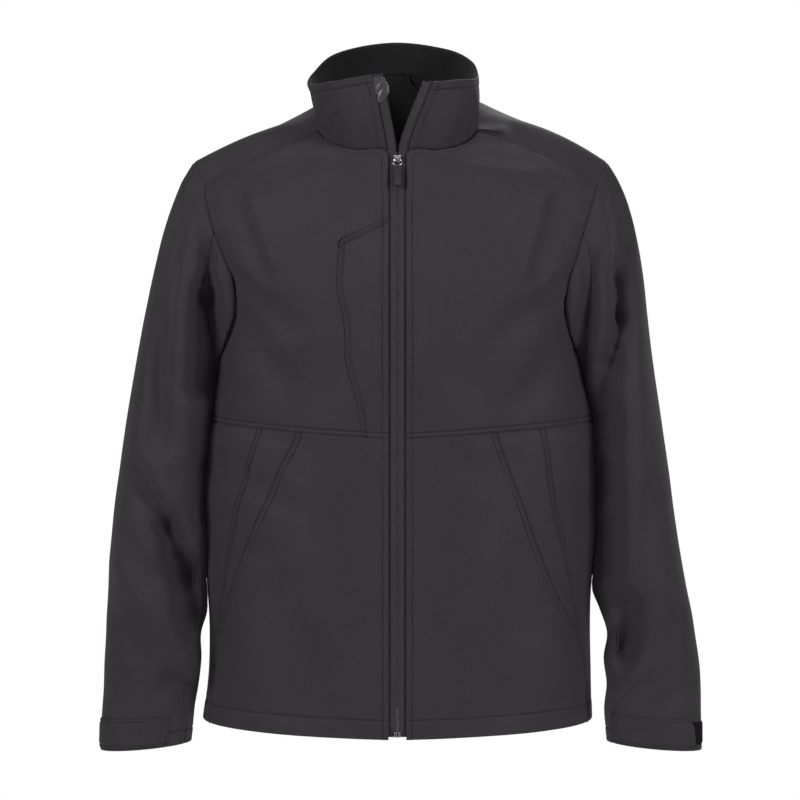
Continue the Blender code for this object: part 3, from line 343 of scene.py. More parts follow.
CALM_WIDE = 0.030               # creases fade over this width beside the zip, the neck and the cuffs
CALM_NARROW = 0.020             # and over this one beside the armholes
CUFF_DEPTH = 0.727              # height of the cuffs' edges below the origin, where creases are calm
NARROWEST = 0.0105              # a narrower strap doesn't count as a sheet

CLOSE = (0.0006, 0.0013, 0.0026, 0.0042, 0.0052, 0.0060, 0.0070, 0.0080, 0.0092)  # lines beside a seam
SLEEVE_CELL = 1.4               # length of a sleeve's mesh cells, in widths
SIDES = {"right": -1.0, "left": 1.0}
FACES = ("front", "back")
ROW_NAMES = ("l_x", "l_y", "l_z", "a_x", "a_y", "a_z", "sweep", "bow", "sag", "pocket", "inner", "outer")

# Free edge of the zip guard as (height, place across), lowest first, and the ends of its fold
GUARD_OUTLINE = ((0.0135, -0.0165), (0.0180, -0.0122), (0.0240, -0.0088), (0.0320, -0.0094),
                 (0.0418, -0.0150))
GUARD_FOLD = ((-0.0135, 0.0385), (-0.0215, 0.0280))
GUARD_WAVES = ((0.0016, 0.0013, 0.0), (-0.0010, 0.0018, 0.0030))  # height, width, distance from the fold
GUARD_SWELL, GUARD_LIFT, GUARD_THICK = 0.0014, 0.0012, 0.0006

# Soft lamps: name, place, share of the key light's power, and width
LIGHTS = (
    ("key", (-2.4, -2.2, 1.1), 1.0, 0.9),
    ("fill", (2.5, -2.1, 0.7), 0.85, 0.9),
    ("top", (0.0, -0.4, 2.8), 0.18, 1.2),
    ("back", (0.8, 2.6, 1.2), 0.7, 1.6),
)
FLOOR_RADIUS = 2.3
LAMP_AIM = (0.0, 0.0, -0.32)

# What the operators share: surfaces, made once, and the rows of stitches marked on them
MADE = {}
STITCH_LINES = []


def srgb(code):
    """Linear RGBA of an sRGB hex colour."""
    parts = [int(code[i:i + 2], 16) / 255 for i in (0, 2, 4)]
    return (*[c / 12.92 if c <= 0.04045 else ((c + 0.055) / 1.055) ** 2.4 for c in parts], 1.0)


class JacketCloth(bpy.types.PropertyGroup):
    """Sizes of the cloth."""
    cell: bpy.props.FloatProperty(
        name="Mesh cell", description="Width of a mesh cell away from seams",
        default=0.0041, min=0.002, subtype="DISTANCE", unit="LENGTH")
    shell: bpy.props.FloatProperty(
        name="Softshell", description="Thickness of the bonded softshell, face and fleece",
        default=0.0018, min=0.001, subtype="DISTANCE", unit="LENGTH")
    facing: bpy.props.FloatProperty(
        name="Collar lining", description="Thickness of the collar's lining",
        default=0.0012, min=0.0005, subtype="DISTANCE", unit="LENGTH")
    tape: bpy.props.FloatProperty(
        name="Zip tape", description="Thickness of the woven zip tape",
        default=0.0010, min=0.0004, subtype="DISTANCE", unit="LENGTH")
    tab: bpy.props.FloatProperty(
        name="Cuff tab", description="Thickness of a doubled cuff tab",
        default=0.0016, min=0.0005, subtype="DISTANCE", unit="LENGTH")
    creases: bpy.props.FloatProperty(
        name="Creases", description="Strength of the soft creases, 1 as photographed",
        default=1.0, min=0.0, max=1.5, subtype="FACTOR")


class JacketSewing(bpy.types.PropertyGroup):
    """Sizes of the topstitching."""
    stitch: bpy.props.FloatProperty(
        name="Stitch", description="Length of one stitch with its gap",
        default=0.0032, min=0.001, subtype="DISTANCE", unit="LENGTH")
    thread: bpy.props.FloatProperty(
        name="Thread", description="Width of the sewing thread, drawn a little coarse to show",
        default=0.0008, min=0.0002, subtype="DISTANCE", unit="LENGTH")
    edge: bpy.props.FloatProperty(
        name="Seam to stitches", description="Distance of the topstitching from its seam",
        default=0.0060, min=0.001, subtype="DISTANCE", unit="LENGTH")
    zip_edge: bpy.props.FloatProperty(
        name="Zip edge to stitches", description="Distance of the topstitching from the zip edge",
        default=0.0070, min=0.001, subtype="DISTANCE", unit="LENGTH")
    hem: bpy.props.FloatProperty(
        name="Hem", description="Depth of the turned hem",
        default=0.0220, min=0.005, subtype="DISTANCE", unit="LENGTH")
    cuff: bpy.props.FloatProperty(
        name="Cuff hem", description="Depth of the turned hem of a sleeve",
        default=0.0160, min=0.005, subtype="DISTANCE", unit="LENGTH")


class JacketZip(bpy.types.PropertyGroup):
    """Sizes of the zip."""
    pitch: bpy.props.FloatProperty(
        name="Tooth pitch", description="Distance between two teeth of one side",
        default=0.0022, min=0.001, subtype="DISTANCE", unit="LENGTH")
    tooth: bpy.props.FloatVectorProperty(
        name="Tooth", description="Width, height and depth of one coil tooth",
        default=(0.0026, 0.0021, 0.0014), size=3, unit="LENGTH")
    slider: bpy.props.FloatVectorProperty(
        name="Slider", description="Width, depth and height of the slider",
        default=(0.0090, 0.0042, 0.0085), size=3, unit="LENGTH")
    pull: bpy.props.FloatVectorProperty(
        name="Pull", description="Width, depth and length of the moulded pull",
        default=(0.0098, 0.0026, 0.0250), size=3, unit="LENGTH")


class JacketColours(bpy.types.PropertyGroup):
    """Colours of what each piece is made of."""
    shell: bpy.props.FloatVectorProperty(
        name="Softshell", description="Outer face of the softshell",
        default=srgb("3d383e"), size=4, min=0.0, max=1.0, subtype="COLOR")
    shell_fleck: bpy.props.FloatVectorProperty(
        name="Softshell fleck", description="Darker yarn between the threads of the outer face",
        default=srgb("2f2b31"), size=4, min=0.0, max=1.0, subtype="COLOR")
    fleece: bpy.props.FloatVectorProperty(
        name="Fleece", description="Inner face of the softshell",
        default=srgb("111012"), size=4, min=0.0, max=1.0, subtype="COLOR")
    lining: bpy.props.FloatVectorProperty(
        name="Collar lining", description="Brushed lining inside the collar",
        default=srgb("120f12"), size=4, min=0.0, max=1.0, subtype="COLOR")
    tape: bpy.props.FloatVectorProperty(
        name="Zip tape", description="Woven tape beside the teeth",
        default=srgb("443d45"), size=4, min=0.0, max=1.0, subtype="COLOR")
    # Coil darker than the tape: partly its own colour, partly painted shade in the gap between the tapes
    teeth: bpy.props.FloatVectorProperty(
        name="Zip teeth", description="Coil of the zip",
        default=srgb("29262b"), size=4, min=0.0, max=1.0, subtype="COLOR")
    guard: bpy.props.FloatVectorProperty(
        name="Zip guard", description="Satin flap over the zip's top end",
        default=srgb("4b4a4c"), size=4, min=0.0, max=1.0, subtype="COLOR")
    metal: bpy.props.FloatVectorProperty(
        name="Slider", description="Plated slider, ring and end box",
        default=srgb("d2d2d6"), size=4, min=0.0, max=1.0, subtype="COLOR")
    pull_plastic: bpy.props.FloatVectorProperty(
        name="Pull", description="Moulded pull",
        default=srgb("2e2c30"), size=4, min=0.0, max=1.0, subtype="COLOR")
    hook_tape: bpy.props.FloatVectorProperty(
        name="Hook tape", description="Hook tape under the cuff tabs",
        default=srgb("0e0e10"), size=4, min=0.0, max=1.0, subtype="COLOR")
    loop_tape: bpy.props.FloatVectorProperty(
        name="Hang loop", description="Woven strap inside the neck",
        default=srgb("1c1a1d"), size=4, min=0.0, max=1.0, subtype="COLOR")
    # Thread darker than the cloth: partly its own colour, partly painted shade of the groove that it lies in
    thread: bpy.props.FloatVectorProperty(
        name="Thread", description="Sewing thread",
        default=srgb("1b181d"), size=4, min=0.0, max=1.0, subtype="COLOR")
    floor: bpy.props.FloatVectorProperty(
        name="Floor", description="Studio floor",
        default=srgb("efefed"), size=4, min=0.0, max=1.0, subtype="COLOR")


class JacketStage(bpy.types.PropertyGroup):
    """Floor, light and camera."""
    floor: bpy.props.FloatProperty(name="Floor", description="Height of the floor", default=-1.42,
                                   subtype="DISTANCE", unit="LENGTH")
    ambient: bpy.props.FloatProperty(name="Ambient", description="Strength of the white surroundings",
                                     default=0.12, min=0.0)
    key: bpy.props.FloatProperty(name="Key light", description="Power of the main soft light",
                                 default=53.0, min=0.0, unit="POWER")
    lens: bpy.props.FloatProperty(name="Lens", description="Focal length", default=156.0, unit="CAMERA")
    eye: bpy.props.FloatVectorProperty(name="Camera", description="Place of the camera",
                                       default=(0.0, -4.0, 0.0), subtype="TRANSLATION", unit="LENGTH")
    aim: bpy.props.FloatVectorProperty(name="Aim", description="Point that the camera looks at",
                                       default=(0.003, 0.0, -0.33), subtype="TRANSLATION", unit="LENGTH")


def named(columns, rows):
    """Table rows as dictionaries."""
    return [dict(zip(columns, row)) for row in rows]


def unit(vectors):
    """Vectors scaled to length 1."""
    return vectors / np.maximum(np.linalg.norm(vectors, axis=-1, keepdims=True), 1e-12)


def hermite(u, first, second, leave, arrive):
    """Place at a share u of the way along a smooth curve with these directions at its ends."""
    return ((2 * u**3 - 3 * u**2 + 1) * first + (u**3 - 2 * u**2 + u) * leave
            + (3 * u**2 - 2 * u**3) * second + (u**3 - u**2) * arrive)


def lengths_along(points):
    """Length from the first point to each."""
    return np.concatenate(([0.0], np.cumsum(np.linalg.norm(np.diff(points, axis=0), axis=1))))


def read_axes(at, places, values):
    """Vectors given at places, read between them."""
    return np.stack([np.interp(at, places, values[:, axis]) for axis in range(3)], axis=-1)


def through(positions, values, at):
    """A smooth curve through values at positions, read at each place in at."""
    positions, values, at = (np.asarray(item, float) for item in (positions, values, at))
    slopes = np.gradient(values, positions, axis=0)
    i = np.clip(np.searchsorted(positions, at) - 1, 0, len(positions) - 2)
    shape = (-1,) + (1,) * (values.ndim - 1)
    span = (positions[i + 1] - positions[i]).reshape(shape)
    u = (at - positions[i]).reshape(shape) / span
    return hermite(u, values[i], values[i + 1], span * slopes[i], span * slopes[i + 1])


def stops(marks, seams, step, offsets=CLOSE):
    """Places from the first mark to the last: on every mark, close beside the seams."""
    fixed = {*marks, *(seam + way * near for seam in seams for near in offsets for way in (-1, 1))}
    result = [marks[0]]
    for place in sorted(p for p in fixed if marks[0] < p <= marks[-1]):
        following = min((mark for mark in marks if mark >= place), default=place)
        if place not in marks and (place - result[-1] < 0.0004 or following - place < 0.0004):
            continue
        start, gap = result[-1], place - result[-1]
        count = max(1, round(gap / step))
        result += [start + gap * (k + 1) / count for k in range(count)]
        result[-1] = place
    return np.array(result)


def bend(reach):
    """How far back the body's outline has turned at a share of its half width."""
    return 1.0 - (1.0 - np.minimum(reach, 1.0) ** ROUNDNESS) ** (1.0 / ROUNDNESS)


def half_keys(side, face):
    """Key rows of one half of the front or back, from the hem to the shoulder seam."""
    front, keys, order = face == "front", [], []
    for row in named(LOWER_COLUMNS, LOWER_ROWS):
        keys.append({"name": row["name"], "l_x": FRONT_EDGE if front else 0.0,
                     "l_y": -row["front"] if front else row["back"], "l_z": row["z_" + face],
                     "a_x": row["half_" + side], "a_y": 0.0, "a_z": row["z_side"], "sweep": 90.0,
                     "bow": 0.0, "sag": 0.0, "pocket": row["pocket"], "inner": row["inner_" + side],
                     "outer": row["outer_" + side]})
        order.append(len(order) - len(LOWER_ROWS) + 1)
    for row in named(UPPER_COLUMNS, FRONT_ROWS if front else BACK_ROWS):
        keys.append({**row, "a_x": row["a_" + side]})
        order.append(order[-1] + row["steps"])
    values = np.array([[key[name] for name in ROW_NAMES] for key in keys], float)
    steps = np.linalg.norm(np.diff(values[:, :6], axis=0), axis=1)
    lower = len(LOWER_ROWS) - 1
    steps[:lower] = np.diff(values[:lower + 1, 5])
    places = np.concatenate(([0.0], np.cumsum(steps)))
    return [key["name"] for key in keys], values, places, np.array(order, float)


def body_rows(side, face, cell, hem):
    """Fine rows of one half, with the row number of each key row and their order round the armhole."""
    names, values, places, order = half_keys(side, face)
    seams = [places[names.index(name)] for name in ("waist", "pocket_top", "collarbone", "nape_low")
             if name in names] + [places[-1], places[0]]
    fold = (hem - 0.0012, hem, hem + 0.0012)
    marks = [float(place) for place in places]
    at = np.unique(np.concatenate((stops(marks, seams, cell), places[0] + np.array(fold))))
    rows = dict(zip(ROW_NAMES, through(places, values, at).T))
    edges = np.stack((values[:-1, 0], values[1:, 0]))
    piece = np.clip(np.searchsorted(places, at) - 1, 0, len(places) - 2)
    rows["l_x"] = np.clip(rows["l_x"], edges.min(axis=0)[piece], edges.max(axis=0)[piece])
    if face == "front":
        rows["l_x"][at <= places[names.index("collarbone")]] = FRONT_EDGE
    upper = order >= 0
    rows["order"] = np.where(at < places[upper][0], -1.0, through(places[upper], order[upper], at))
    ease = (EASE_SWEEP[0] - rows["sweep"]) / (EASE_SWEEP[0] - EASE_SWEEP[1])
    rows["sag"] = rows["sag"] + SHOULDER_EASE[side] * np.clip(ease, 0.0, 1.0)
    rows["sag"][at <= places[names.index("underarm")]] = 0.0
    rows["sweep"] = np.minimum(rows["sweep"], 90.0)
    rows["bow"] = np.where(at <= places[names.index("underarm")], 0.0, rows["bow"])
    index = {name: int(np.argmin(np.abs(at - place))) for name, place in zip(names, places)}
    return rows, index


def front_shares(rows, cell):
    """Shares of the way along each front row at which its columns lie, and the seam columns."""
    sweep = np.radians(rows["sweep"])
    lines = [np.zeros_like(sweep)]
    for line in ("pocket", "inner", "outer"):
        reach = (rows[line] - rows["l_x"]) / (rows["a_x"] - rows["l_x"])
        lines.append(np.arcsin(np.clip(reach * np.sin(sweep), 0, 1)) / sweep)
    lines[3] = np.maximum(lines[3], lines[2])
    lines.append(np.ones_like(sweep))
    shares, seams = [lines[0]], [0]
    for start, end, width in zip(lines, lines[1:], FRONT_WIDTHS):
        inside = stops([0.0, width], [0.0, width], cell)[1:] / width
        shares += [start + (end - start) * share for share in inside]
        seams.append(len(shares) - 1)
    return np.array(shares).T, seams


def cross_lines(rows, shares, sign):
    """Points along all rows of the body."""
    sweep, column = np.radians(rows["sweep"])[:, None], {name: rows[name][:, None] for name in ROW_NAMES}
    full = np.sin(sweep)
    reach = np.sin(shares * sweep) / full
    turned = bend(reach * full) / bend(full)
    return np.stack((sign * (column["l_x"] + (column["a_x"] - column["l_x"]) * reach),
                     column["l_y"] + (column["a_y"] - column["l_y"]) * turned
                     - column["bow"] * np.sin(math.pi * shares),
                     column["l_z"] + (column["a_z"] - column["l_z"]) * reach
                     + column["sag"] * 4.0 * reach * (1.0 - reach)), axis=-1)


def outward(grid, middle, closed=False):
    """Unit normals of a grid of points, pointing away from middle."""
    if closed:
        wrapped = np.concatenate((grid[:, -1:], grid, grid[:, :1]), axis=1)
        along = wrapped[:, 2:] - wrapped[:, :-2]
    else:
        along = np.gradient(grid, axis=1)
    normals = unit(np.cross(np.gradient(grid, axis=0), along))
    if np.sum(normals * (grid - middle)) < 0:
        normals = -normals
    return normals


def steady(normals, grid):
    """Normals where two grid columns lie on one line, taken from beside it."""
    weak = np.linalg.norm(np.gradient(grid, axis=1), axis=-1) < 1e-6
    for r, c in np.argwhere(weak):
        left = c
        while left > 0 and weak[r, left]:
            left -= 1
        normals[r, c] = normals[r, left]
    return normals


def off_line(points, row):
    """Distance of points from a table's line, seen from the front, in its widths."""
    start = np.array((row["x1"], row["z1"]))
    run = np.array((row["x2"], row["z2"])) - start
    place = points[..., (0, 2)] - start
    along = np.clip(place @ run / (run @ run), 0.0, 1.0)
    return np.linalg.norm(place - along[..., None] * run, axis=-1) / row["width"]


def lines_shift(table, points, normals, flat=1.6):
    """How far creases push each point inwards, from the side of the body that they are on."""
    deep, high = np.zeros(points.shape[:-1]), np.zeros(points.shape[:-1])
    for row in table:
        away = off_line(points, row)
        profile = np.exp(-away**2) - 0.22 * np.exp(-(away - 1.9)**2)
        facing = normals[..., 1] * (-1.0 if row["face"] == "front" else 1.0)
        push = row["depth"] * profile * np.clip(facing * flat, 0.0, 1.0)
        deep, high = np.maximum(deep, push), np.minimum(high, push)
    return deep + high


def ripple(points, seed):
    """Slow unevenness of hanging cloth, the same each run."""
    flat = points.reshape(-1, 3)
    offset = Vector((seed * 3.1, seed * 1.7, seed * 0.9))
    values = [noise.noise(Vector((x, y, z * 0.55)) / RIPPLE_SIZE + offset) for x, y, z in flat]
    return np.array(values).reshape(points.shape[:-1]) * RIPPLE


def share_rim(first, second, least=0.3):
    """Give two pieces the same direction along a seam, where they don't double back."""
    both = unit(first + second)
    agree = np.sum(first * second, axis=-1, keepdims=True) > least
    first[:] = np.where(agree, both, first)
    second[:] = np.where(agree, both, second)


def measured(grid, closed=False):
    """Lengths along the rows and the columns of a grid, for distances and UV maps."""
    steps = np.diff(np.concatenate((grid, grid[:, :1]), axis=1) if closed else grid, axis=1)
    across = np.cumsum(np.linalg.norm(steps, axis=2), axis=1)
    across = np.concatenate((np.zeros((len(grid), 1)), across), axis=1)
    up = np.linalg.norm(np.diff(grid, axis=0), axis=2)
    up = np.concatenate((np.zeros((1, grid.shape[1])), np.cumsum(up, axis=0)))
    if closed:
        up = np.concatenate((up, up[:, :1]), axis=1)
    return across, up


def surface(grid, normals, closed=False):
    """A grid with its normals and lengths. A closed one gets its first column again at the end."""
    across, up = measured(grid, closed)
    if closed:
        grid, normals = (np.concatenate((item, item[:, :1]), axis=1) for item in (grid, normals))
    return {"grid": grid, "out": normals, "across": across, "up": up, "closed": closed}


def thinned(sheet, seams, marks, least=0.0040):
    """The sheet without the columns that only other pieces need, and its columns' new numbers."""
    along = sheet["across"][len(sheet["across"]) // 2]
    keep = [0]
    for column in range(1, len(along)):
        beside = min(abs(along[column] - along[seam]) for seam in seams) < CLOSE[-1] + 0.0002
        if beside or column in marks or along[column] - along[keep[-1]] >= least:
            keep.append(column)
    fewer = {name: sheet[name][:, keep] for name in ("grid", "out", "across", "up")}
    return {**sheet, **fewer}, [keep.index(column) for column in (*seams, *marks)]


def rim_distance(sheet, rim):
    """Distance of every grid point from a rim along a row or a column of the grid."""
    way, at, start, end = rim
    grid, across, up = sheet["grid"], sheet["across"], sheet["up"]
    if way == "row":
        grid, across, up = grid.transpose(1, 0, 2), up.T, across.T
    beside = at + 1 if at + 1 < grid.shape[1] else at - 1
    run = unit(np.gradient(grid[:, at], axis=0))
    over = unit(grid[:, beside] - grid[:, at])
    slant = np.linalg.norm(np.cross(run, over), axis=1)
    slant = np.where(np.linalg.norm(over, axis=1) < 0.5, 1.0, slant)[:, None]
    rows = np.clip(np.arange(len(grid)), start, end)
    straight = np.abs(across - across[:, at:at + 1]) * slant
    beyond = np.abs(up - up[rows, np.arange(grid.shape[1])[:, None]].T)
    away = np.hypot(straight, beyond)
    return away.T if way == "row" else away


def rim_shape(line, away, folded):
    """How far out the cloth stands at a distance from its rim. line is where it is topstitched."""
    depth, width = FOLDED_RIM if folded else SEAM_RIM
    rim = -depth * np.exp(-(away / width) ** 2)
    if not line:
        return rim * UNSTITCHED
    depth, width = GROOVE
    groove = -depth * np.exp(-((away - line) / width) ** 2)
    return rim + groove + BAND / (1.0 + np.exp((away - line) / BAND_SOFT))


def shell(name, sheet, mask, rims, thickness, finish, lift=0.0, inset=0.00003, soft=1.0, join=None):
    """Thin closed cloth over the masked cells of a grid, with its UV map in metres of cloth.

    Each rim is where it is topstitched, its way, row or column, first and last place, and
    "folded" at an edge. soft is the share of the rims' relief, inset draws the rim inwards, and
    join is the row and column up to which two columns on one line are the same.
    """
    grid, out = sheet["grid"], sheet["out"]
    rows, columns = grid.shape[:2]
    height = np.zeros((rows, columns))
    for line, way, at, first, last, *folded in rims:
        height += rim_shape(line, rim_distance(sheet, (way, at, first, last)), folded) * soft
    number = np.arange(rows * columns).reshape(rows, columns)
    if join:
        number[:join[0] + 1, join[1] + 1] = number[:join[0] + 1, join[1]]
    if sheet["closed"]:
        number[:, -1] = number[:, 0]
    r, c = np.nonzero(mask)
    quads = np.stack((number[r, c], number[r, c + 1], number[r + 1, c + 1], number[r + 1, c]), axis=1)
    area = np.linalg.norm(np.cross(grid[r + 1, c + 1] - grid[r, c], grid[r + 1, c] - grid[r, c + 1]), axis=1)
    r, c, quads = r[area > 1e-10], c[area > 1e-10], quads[area > 1e-10]
    flat = grid.reshape(-1, 3)
    edges = np.concatenate([np.stack((quads[:, i], quads[:, (i + 1) % 4]), axis=1) for i in range(4)])
    centres = np.tile(flat[quads].mean(axis=1), (4, 1))
    _, where, counts = np.unique(np.sort(edges, axis=1), axis=0, return_inverse=True, return_counts=True)
    rim_edges = edges[counts[where.reshape(-1)] == 1]
    rim_centres = centres[counts[where.reshape(-1)] == 1]
    run = unit(flat[rim_edges[:, 1]] - flat[rim_edges[:, 0]])
    into = rim_centres - flat[rim_edges[:, 0]]
    into = unit(into - run * np.sum(into * run, axis=1, keepdims=True))
    draw = np.zeros_like(flat)
    for corner in (0, 1):
        np.add.at(draw, rim_edges[:, corner], into)
    top = flat + unit(draw) * inset + out.reshape(-1, 3) * (lift + height.reshape(-1, 1))
    bottom = flat + unit(draw) * inset + out.reshape(-1, 3) * (lift - thickness)
    used = np.unique(quads)
    new = np.full(len(flat), -1)
    new[used] = np.arange(len(used))
    count = len(used)
    face = new[quads]
    side = np.stack((new[rim_edges[:, 1]], new[rim_edges[:, 0]], new[rim_edges[:, 0]] + count,
                     new[rim_edges[:, 1]] + count), axis=1)
    a, b, d = flat[quads[:, 0]], flat[quads[:, 1]], flat[quads[:, 3]]
    if np.sum(np.cross(b - a, d - a) * out.reshape(-1, 3)[quads[:, 0]]) < 0:
        face, side = face[:, ::-1], side[:, ::-1]
    faces = np.concatenate((face, face[:, ::-1] + count, side))
    data = bpy.data.meshes.new(name)
    data.from_pydata(np.concatenate((top[used], bottom[used])).tolist(), [], faces.tolist())
    cut = np.stack((sheet["across"].reshape(-1), sheet["up"].reshape(-1)), axis=1)[used]
    layer = data.uv_layers.new(name="cloth")
    loops = np.zeros(len(data.loops), int)
    data.loops.foreach_get("vertex_index", loops)
    layer.data.foreach_set("uv", cut[loops % count].astype(np.float32).reshape(-1))
    data.shade_smooth()
    data.set_sharp_from_angle(angle=math.radians(50))
    data.validate()
    sheet["top"] = grid + out * (lift + height)[..., None]
    piece = finished(name, data, finish)
    piece["outer"] = len(quads)
    return piece


def finished(name, data, finish):
    """Link a mesh as a named piece with its material."""
    piece = bpy.data.objects.new(name, data)
    piece.data.materials.clear()
    piece.data.materials.append(material(finish))
    bpy.context.scene.collection.objects.link(piece)
    return piece


def turn_out(half):
    """Directions of both faces of one half, level at the back's middle and shared at the seams."""
    for face in FACES:
        grid = half[face]
        out = steady(outward(grid, grid * (0.0, 0.0, 1.0) + (0.0, 0.0, -0.10)), grid)
        if face == "back":
            out[:half["back_index"]["neck_back"] + 1, 0, 0] = 0.0
            out = unit(out)
        half[face + "_out"] = out
    side = half["front_index"]["underarm"] + 1
    share_rim(half["front_out"][:side, -1], half["back_out"][:side, -1])
    share_rim(half["front_out"][-1], half["back_out"][-1])


def crease_body(half, face, table, strength):
    """Press the creases into one face, and calm them beside the zip, the armhole and the neck."""
    grid, out = half[face], half[face + "_out"]
    across, _ = measured(grid)
    beside_zip = np.clip(across / CALM_WIDE, 0.0, 1.0) if face == "front" else 1.0
    beside_arm = np.clip((across[:, -1:] - across) / CALM_NARROW, 0.0, 1.0)
    beside_arm = np.where(half["rows"][face]["order"][:, None] >= 0, beside_arm, 1.0)
    neck = grid[half[face + "_index"]["neck_front" if face == "front" else "neck_base"], 0]
    beside_neck = np.clip(np.linalg.norm(grid - neck, axis=2) / CALM_WIDE, 0.0, 1.0)
    shift = lines_shift(table, grid, out) * beside_arm * beside_neck + ripple(grid, 1.0)
    half[face] = grid - out * (shift * beside_zip * strength)[..., None]


def body_surfaces():
    """Fronts and backs of both sides, with their creases."""
    cloth, sewing = bpy.context.scene.jacket_cloth, bpy.context.scene.jacket_sewing
    halves = {}
    for side, sign in SIDES.items():
        half, rows = {}, {}
        for face in FACES:
            rows[face], half[face + "_index"] = body_rows(side, face, cloth.cell, sewing.hem)
        shares, seams = front_shares(rows["front"], cloth.cell)
        half["front"] = cross_lines(rows["front"], shares, sign)
        shares = np.repeat(shares[-1:], len(rows["back"]["order"]), axis=0)
        half["back"] = cross_lines(rows["back"], shares, sign)
        half["seams"], half["rows"] = seams, rows
        last = half["front_index"]["underarm"] + 1
        side_line = (half["front"][:last, -1] + half["back"][:last, -1]) / 2
        half["front"][:last, -1] = half["back"][:last, -1] = side_line
        turn_out(half)
        for face in FACES:
            crease_body(half, face, named(CREASE_COLUMNS, BODY_CREASES), cloth.creases)
        turn_out(half)
        halves[side] = half
    return halves


def body_reach(side, y, z):
    """Half width of the body at depths and heights below the underarm."""
    rows = named(LOWER_COLUMNS, LOWER_ROWS)
    heights = [row["z_side"] for row in rows]
    half = np.interp(z, heights, [row["half_" + side] for row in rows])
    front, back = (np.interp(z, heights, [row[face] for row in rows]) for face in FACES)
    depth = np.where(y < 0, front, back)
    return half * (1.0 - np.minimum(np.abs(y) / depth, 0.999) ** ROUNDNESS) ** (1.0 / ROUNDNESS)


def armhole(half):
    """Armhole loop with its order, from the underarm up the front and down the back."""
    rows = half["rows"]
    front, back = (half[face][rows[face]["order"] >= 0, -1] for face in FACES)
    order_front, order_back = (rows[face]["order"][rows[face]["order"] >= 0] for face in FACES)
    top = order_front[-1]
    loop = np.concatenate((front, back[::-1][1:-1]))
    order = np.concatenate((order_front, top + (order_back[-1] - order_back[::-1][1:-1])))
    total = top + order_back[-1]
    ridge = sum(row[1] for row in BACK_ROWS[:-1])
    corners = [0, 5, top + order_back[-1] - ridge, total - 5, total]
    coarse = np.arange(int(total) + 1)
    turns = through(coarse, np.interp(coarse, corners, [turn for _, turn in CAP_TURNS]), order)
    seams = [int(np.argmin(np.abs(order - place))) for place in (corners[1], corners[3])]
    return loop, np.radians(turns), seams


def sleeve_surface(side, half):
    """Surface of one sleeve, with its seams' columns, first row below the cap and turns in degrees."""
    cloth, sewing = bpy.context.scene.jacket_cloth, bpy.context.scene.jacket_sewing
    sign = SIDES[side]
    loop, turns, seams = armhole(half)
    table = np.array(SLEEVE_ROWS)
    depths = table[0, 0] - table[:, 0]
    fold = depths[-1] - sewing.cuff
    at = stops([0.0, *depths[1:]], [depths[-1], fold], cloth.cell * SLEEVE_CELL, (0.0007, 0.0016, 0.0030))

    def rings(rows):
        """Oval sections of the sleeve at these rows of its table."""
        row = dict(zip(SLEEVE_COLUMNS, rows.T[:, :, None]))
        centre = (row["in_" + side] + row["out_" + side]) / 2
        reach = (row["out_" + side] - row["in_" + side]) / 2
        return np.stack((sign * (centre + reach * np.cos(turns)),
                         row["middle"] - row["depth"] / 2 * np.sin(turns),
                         row["z"] - row["tilt"] * np.cos(turns)), axis=-1)

    lower = rings(through(depths, table, at))
    first, second = rings(table[:2])
    under = np.abs(turns)[:, None] / math.pi
    away = np.linalg.norm(first - loop, axis=1)[:, None]
    out, down = (top + (bottom - top) * under for top, bottom in (CAP_OUT, CAP_DOWN))
    leave = unit(np.concatenate((sign * out, CAP_SIDEWAYS * np.sin(turns)[:, None], down), axis=1))
    leave = leave * away * CAP_SWELL[side]
    arrive = unit(second - first) * away * CAP_ARRIVE
    u = stops([0.0, 1.0], [0.0], 0.022, (0.004, 0.010, 0.018, 0.030, 0.042))[:-1, None, None]
    grid = np.concatenate((hermite(u, loop, first, leave, arrive), lower))
    ring = np.concatenate((u[:, 0, 0] * CAP_STEPS, np.full(len(lower), CAP_STEPS)))[:, None]
    middle = np.repeat(grid.mean(axis=1, keepdims=True), grid.shape[1], axis=1)
    normals = outward(grid, middle, closed=True)
    shift = np.zeros(grid.shape[:2])
    for row in named(FOLD_COLUMNS, FOLDS):
        if row["side"] == side:
            shift += row["depth"] * np.exp(-off_line(grid * (sign, 1.0, 1.0), row) ** 2)
    shift = shift * np.clip(-normals[..., 1] * 1.6, 0.0, 1.0) * np.clip(ring, 0.0, 1.0)
    facing = normals            # of the sleeve without its folds, so that they fade evenly
    grid = grid - normals * shift[..., None]
    normals = outward(grid, middle, closed=True)
    creases = [dict(zip(CREASE_COLUMNS, row[1:])) for row in SLEEVE_CREASES if row[0] == side]
    points = grid * (sign, 1.0, 1.0)
    calm = np.clip((CUFF_DEPTH + grid[..., 2]) / CALM_WIDE, 0.15, 1.0) * np.clip(ring / 2, 0.0, 1.0)
    shift = lines_shift(creases, points, facing, 1.5) * cloth.creases * calm
    for _ in range(3):
        shift = (np.roll(shift, 1, axis=1) + 2 * shift + np.roll(shift, -1, axis=1)) / 4
    uneven = ripple(grid, 2.0) * cloth.creases * calm
    grid = grid - facing * (0.3 * shift)[..., None] - normals * uneven[..., None]
    grid[..., 1] -= np.sign(facing[..., 1]) * 0.8 * shift   # folds sink from front to back
    clear = SLEEVE_CLEAR * np.clip(ring / 3, 0.0, 1.0)
    least = body_reach(side, grid[..., 1], grid[..., 2]) + clear
    pressed = (grid[..., 2] < PRESSED_BELOW) & (ring > 0)
    grid[..., 0] = np.where(pressed, sign * np.maximum(sign * grid[..., 0], least), grid[..., 0])
    normals = outward(grid, middle, closed=True)
    share_armhole(half, normals)
    return {**surface(grid, normals, closed=True), "seams": seams, "cap": len(u), "turns": np.degrees(turns)}


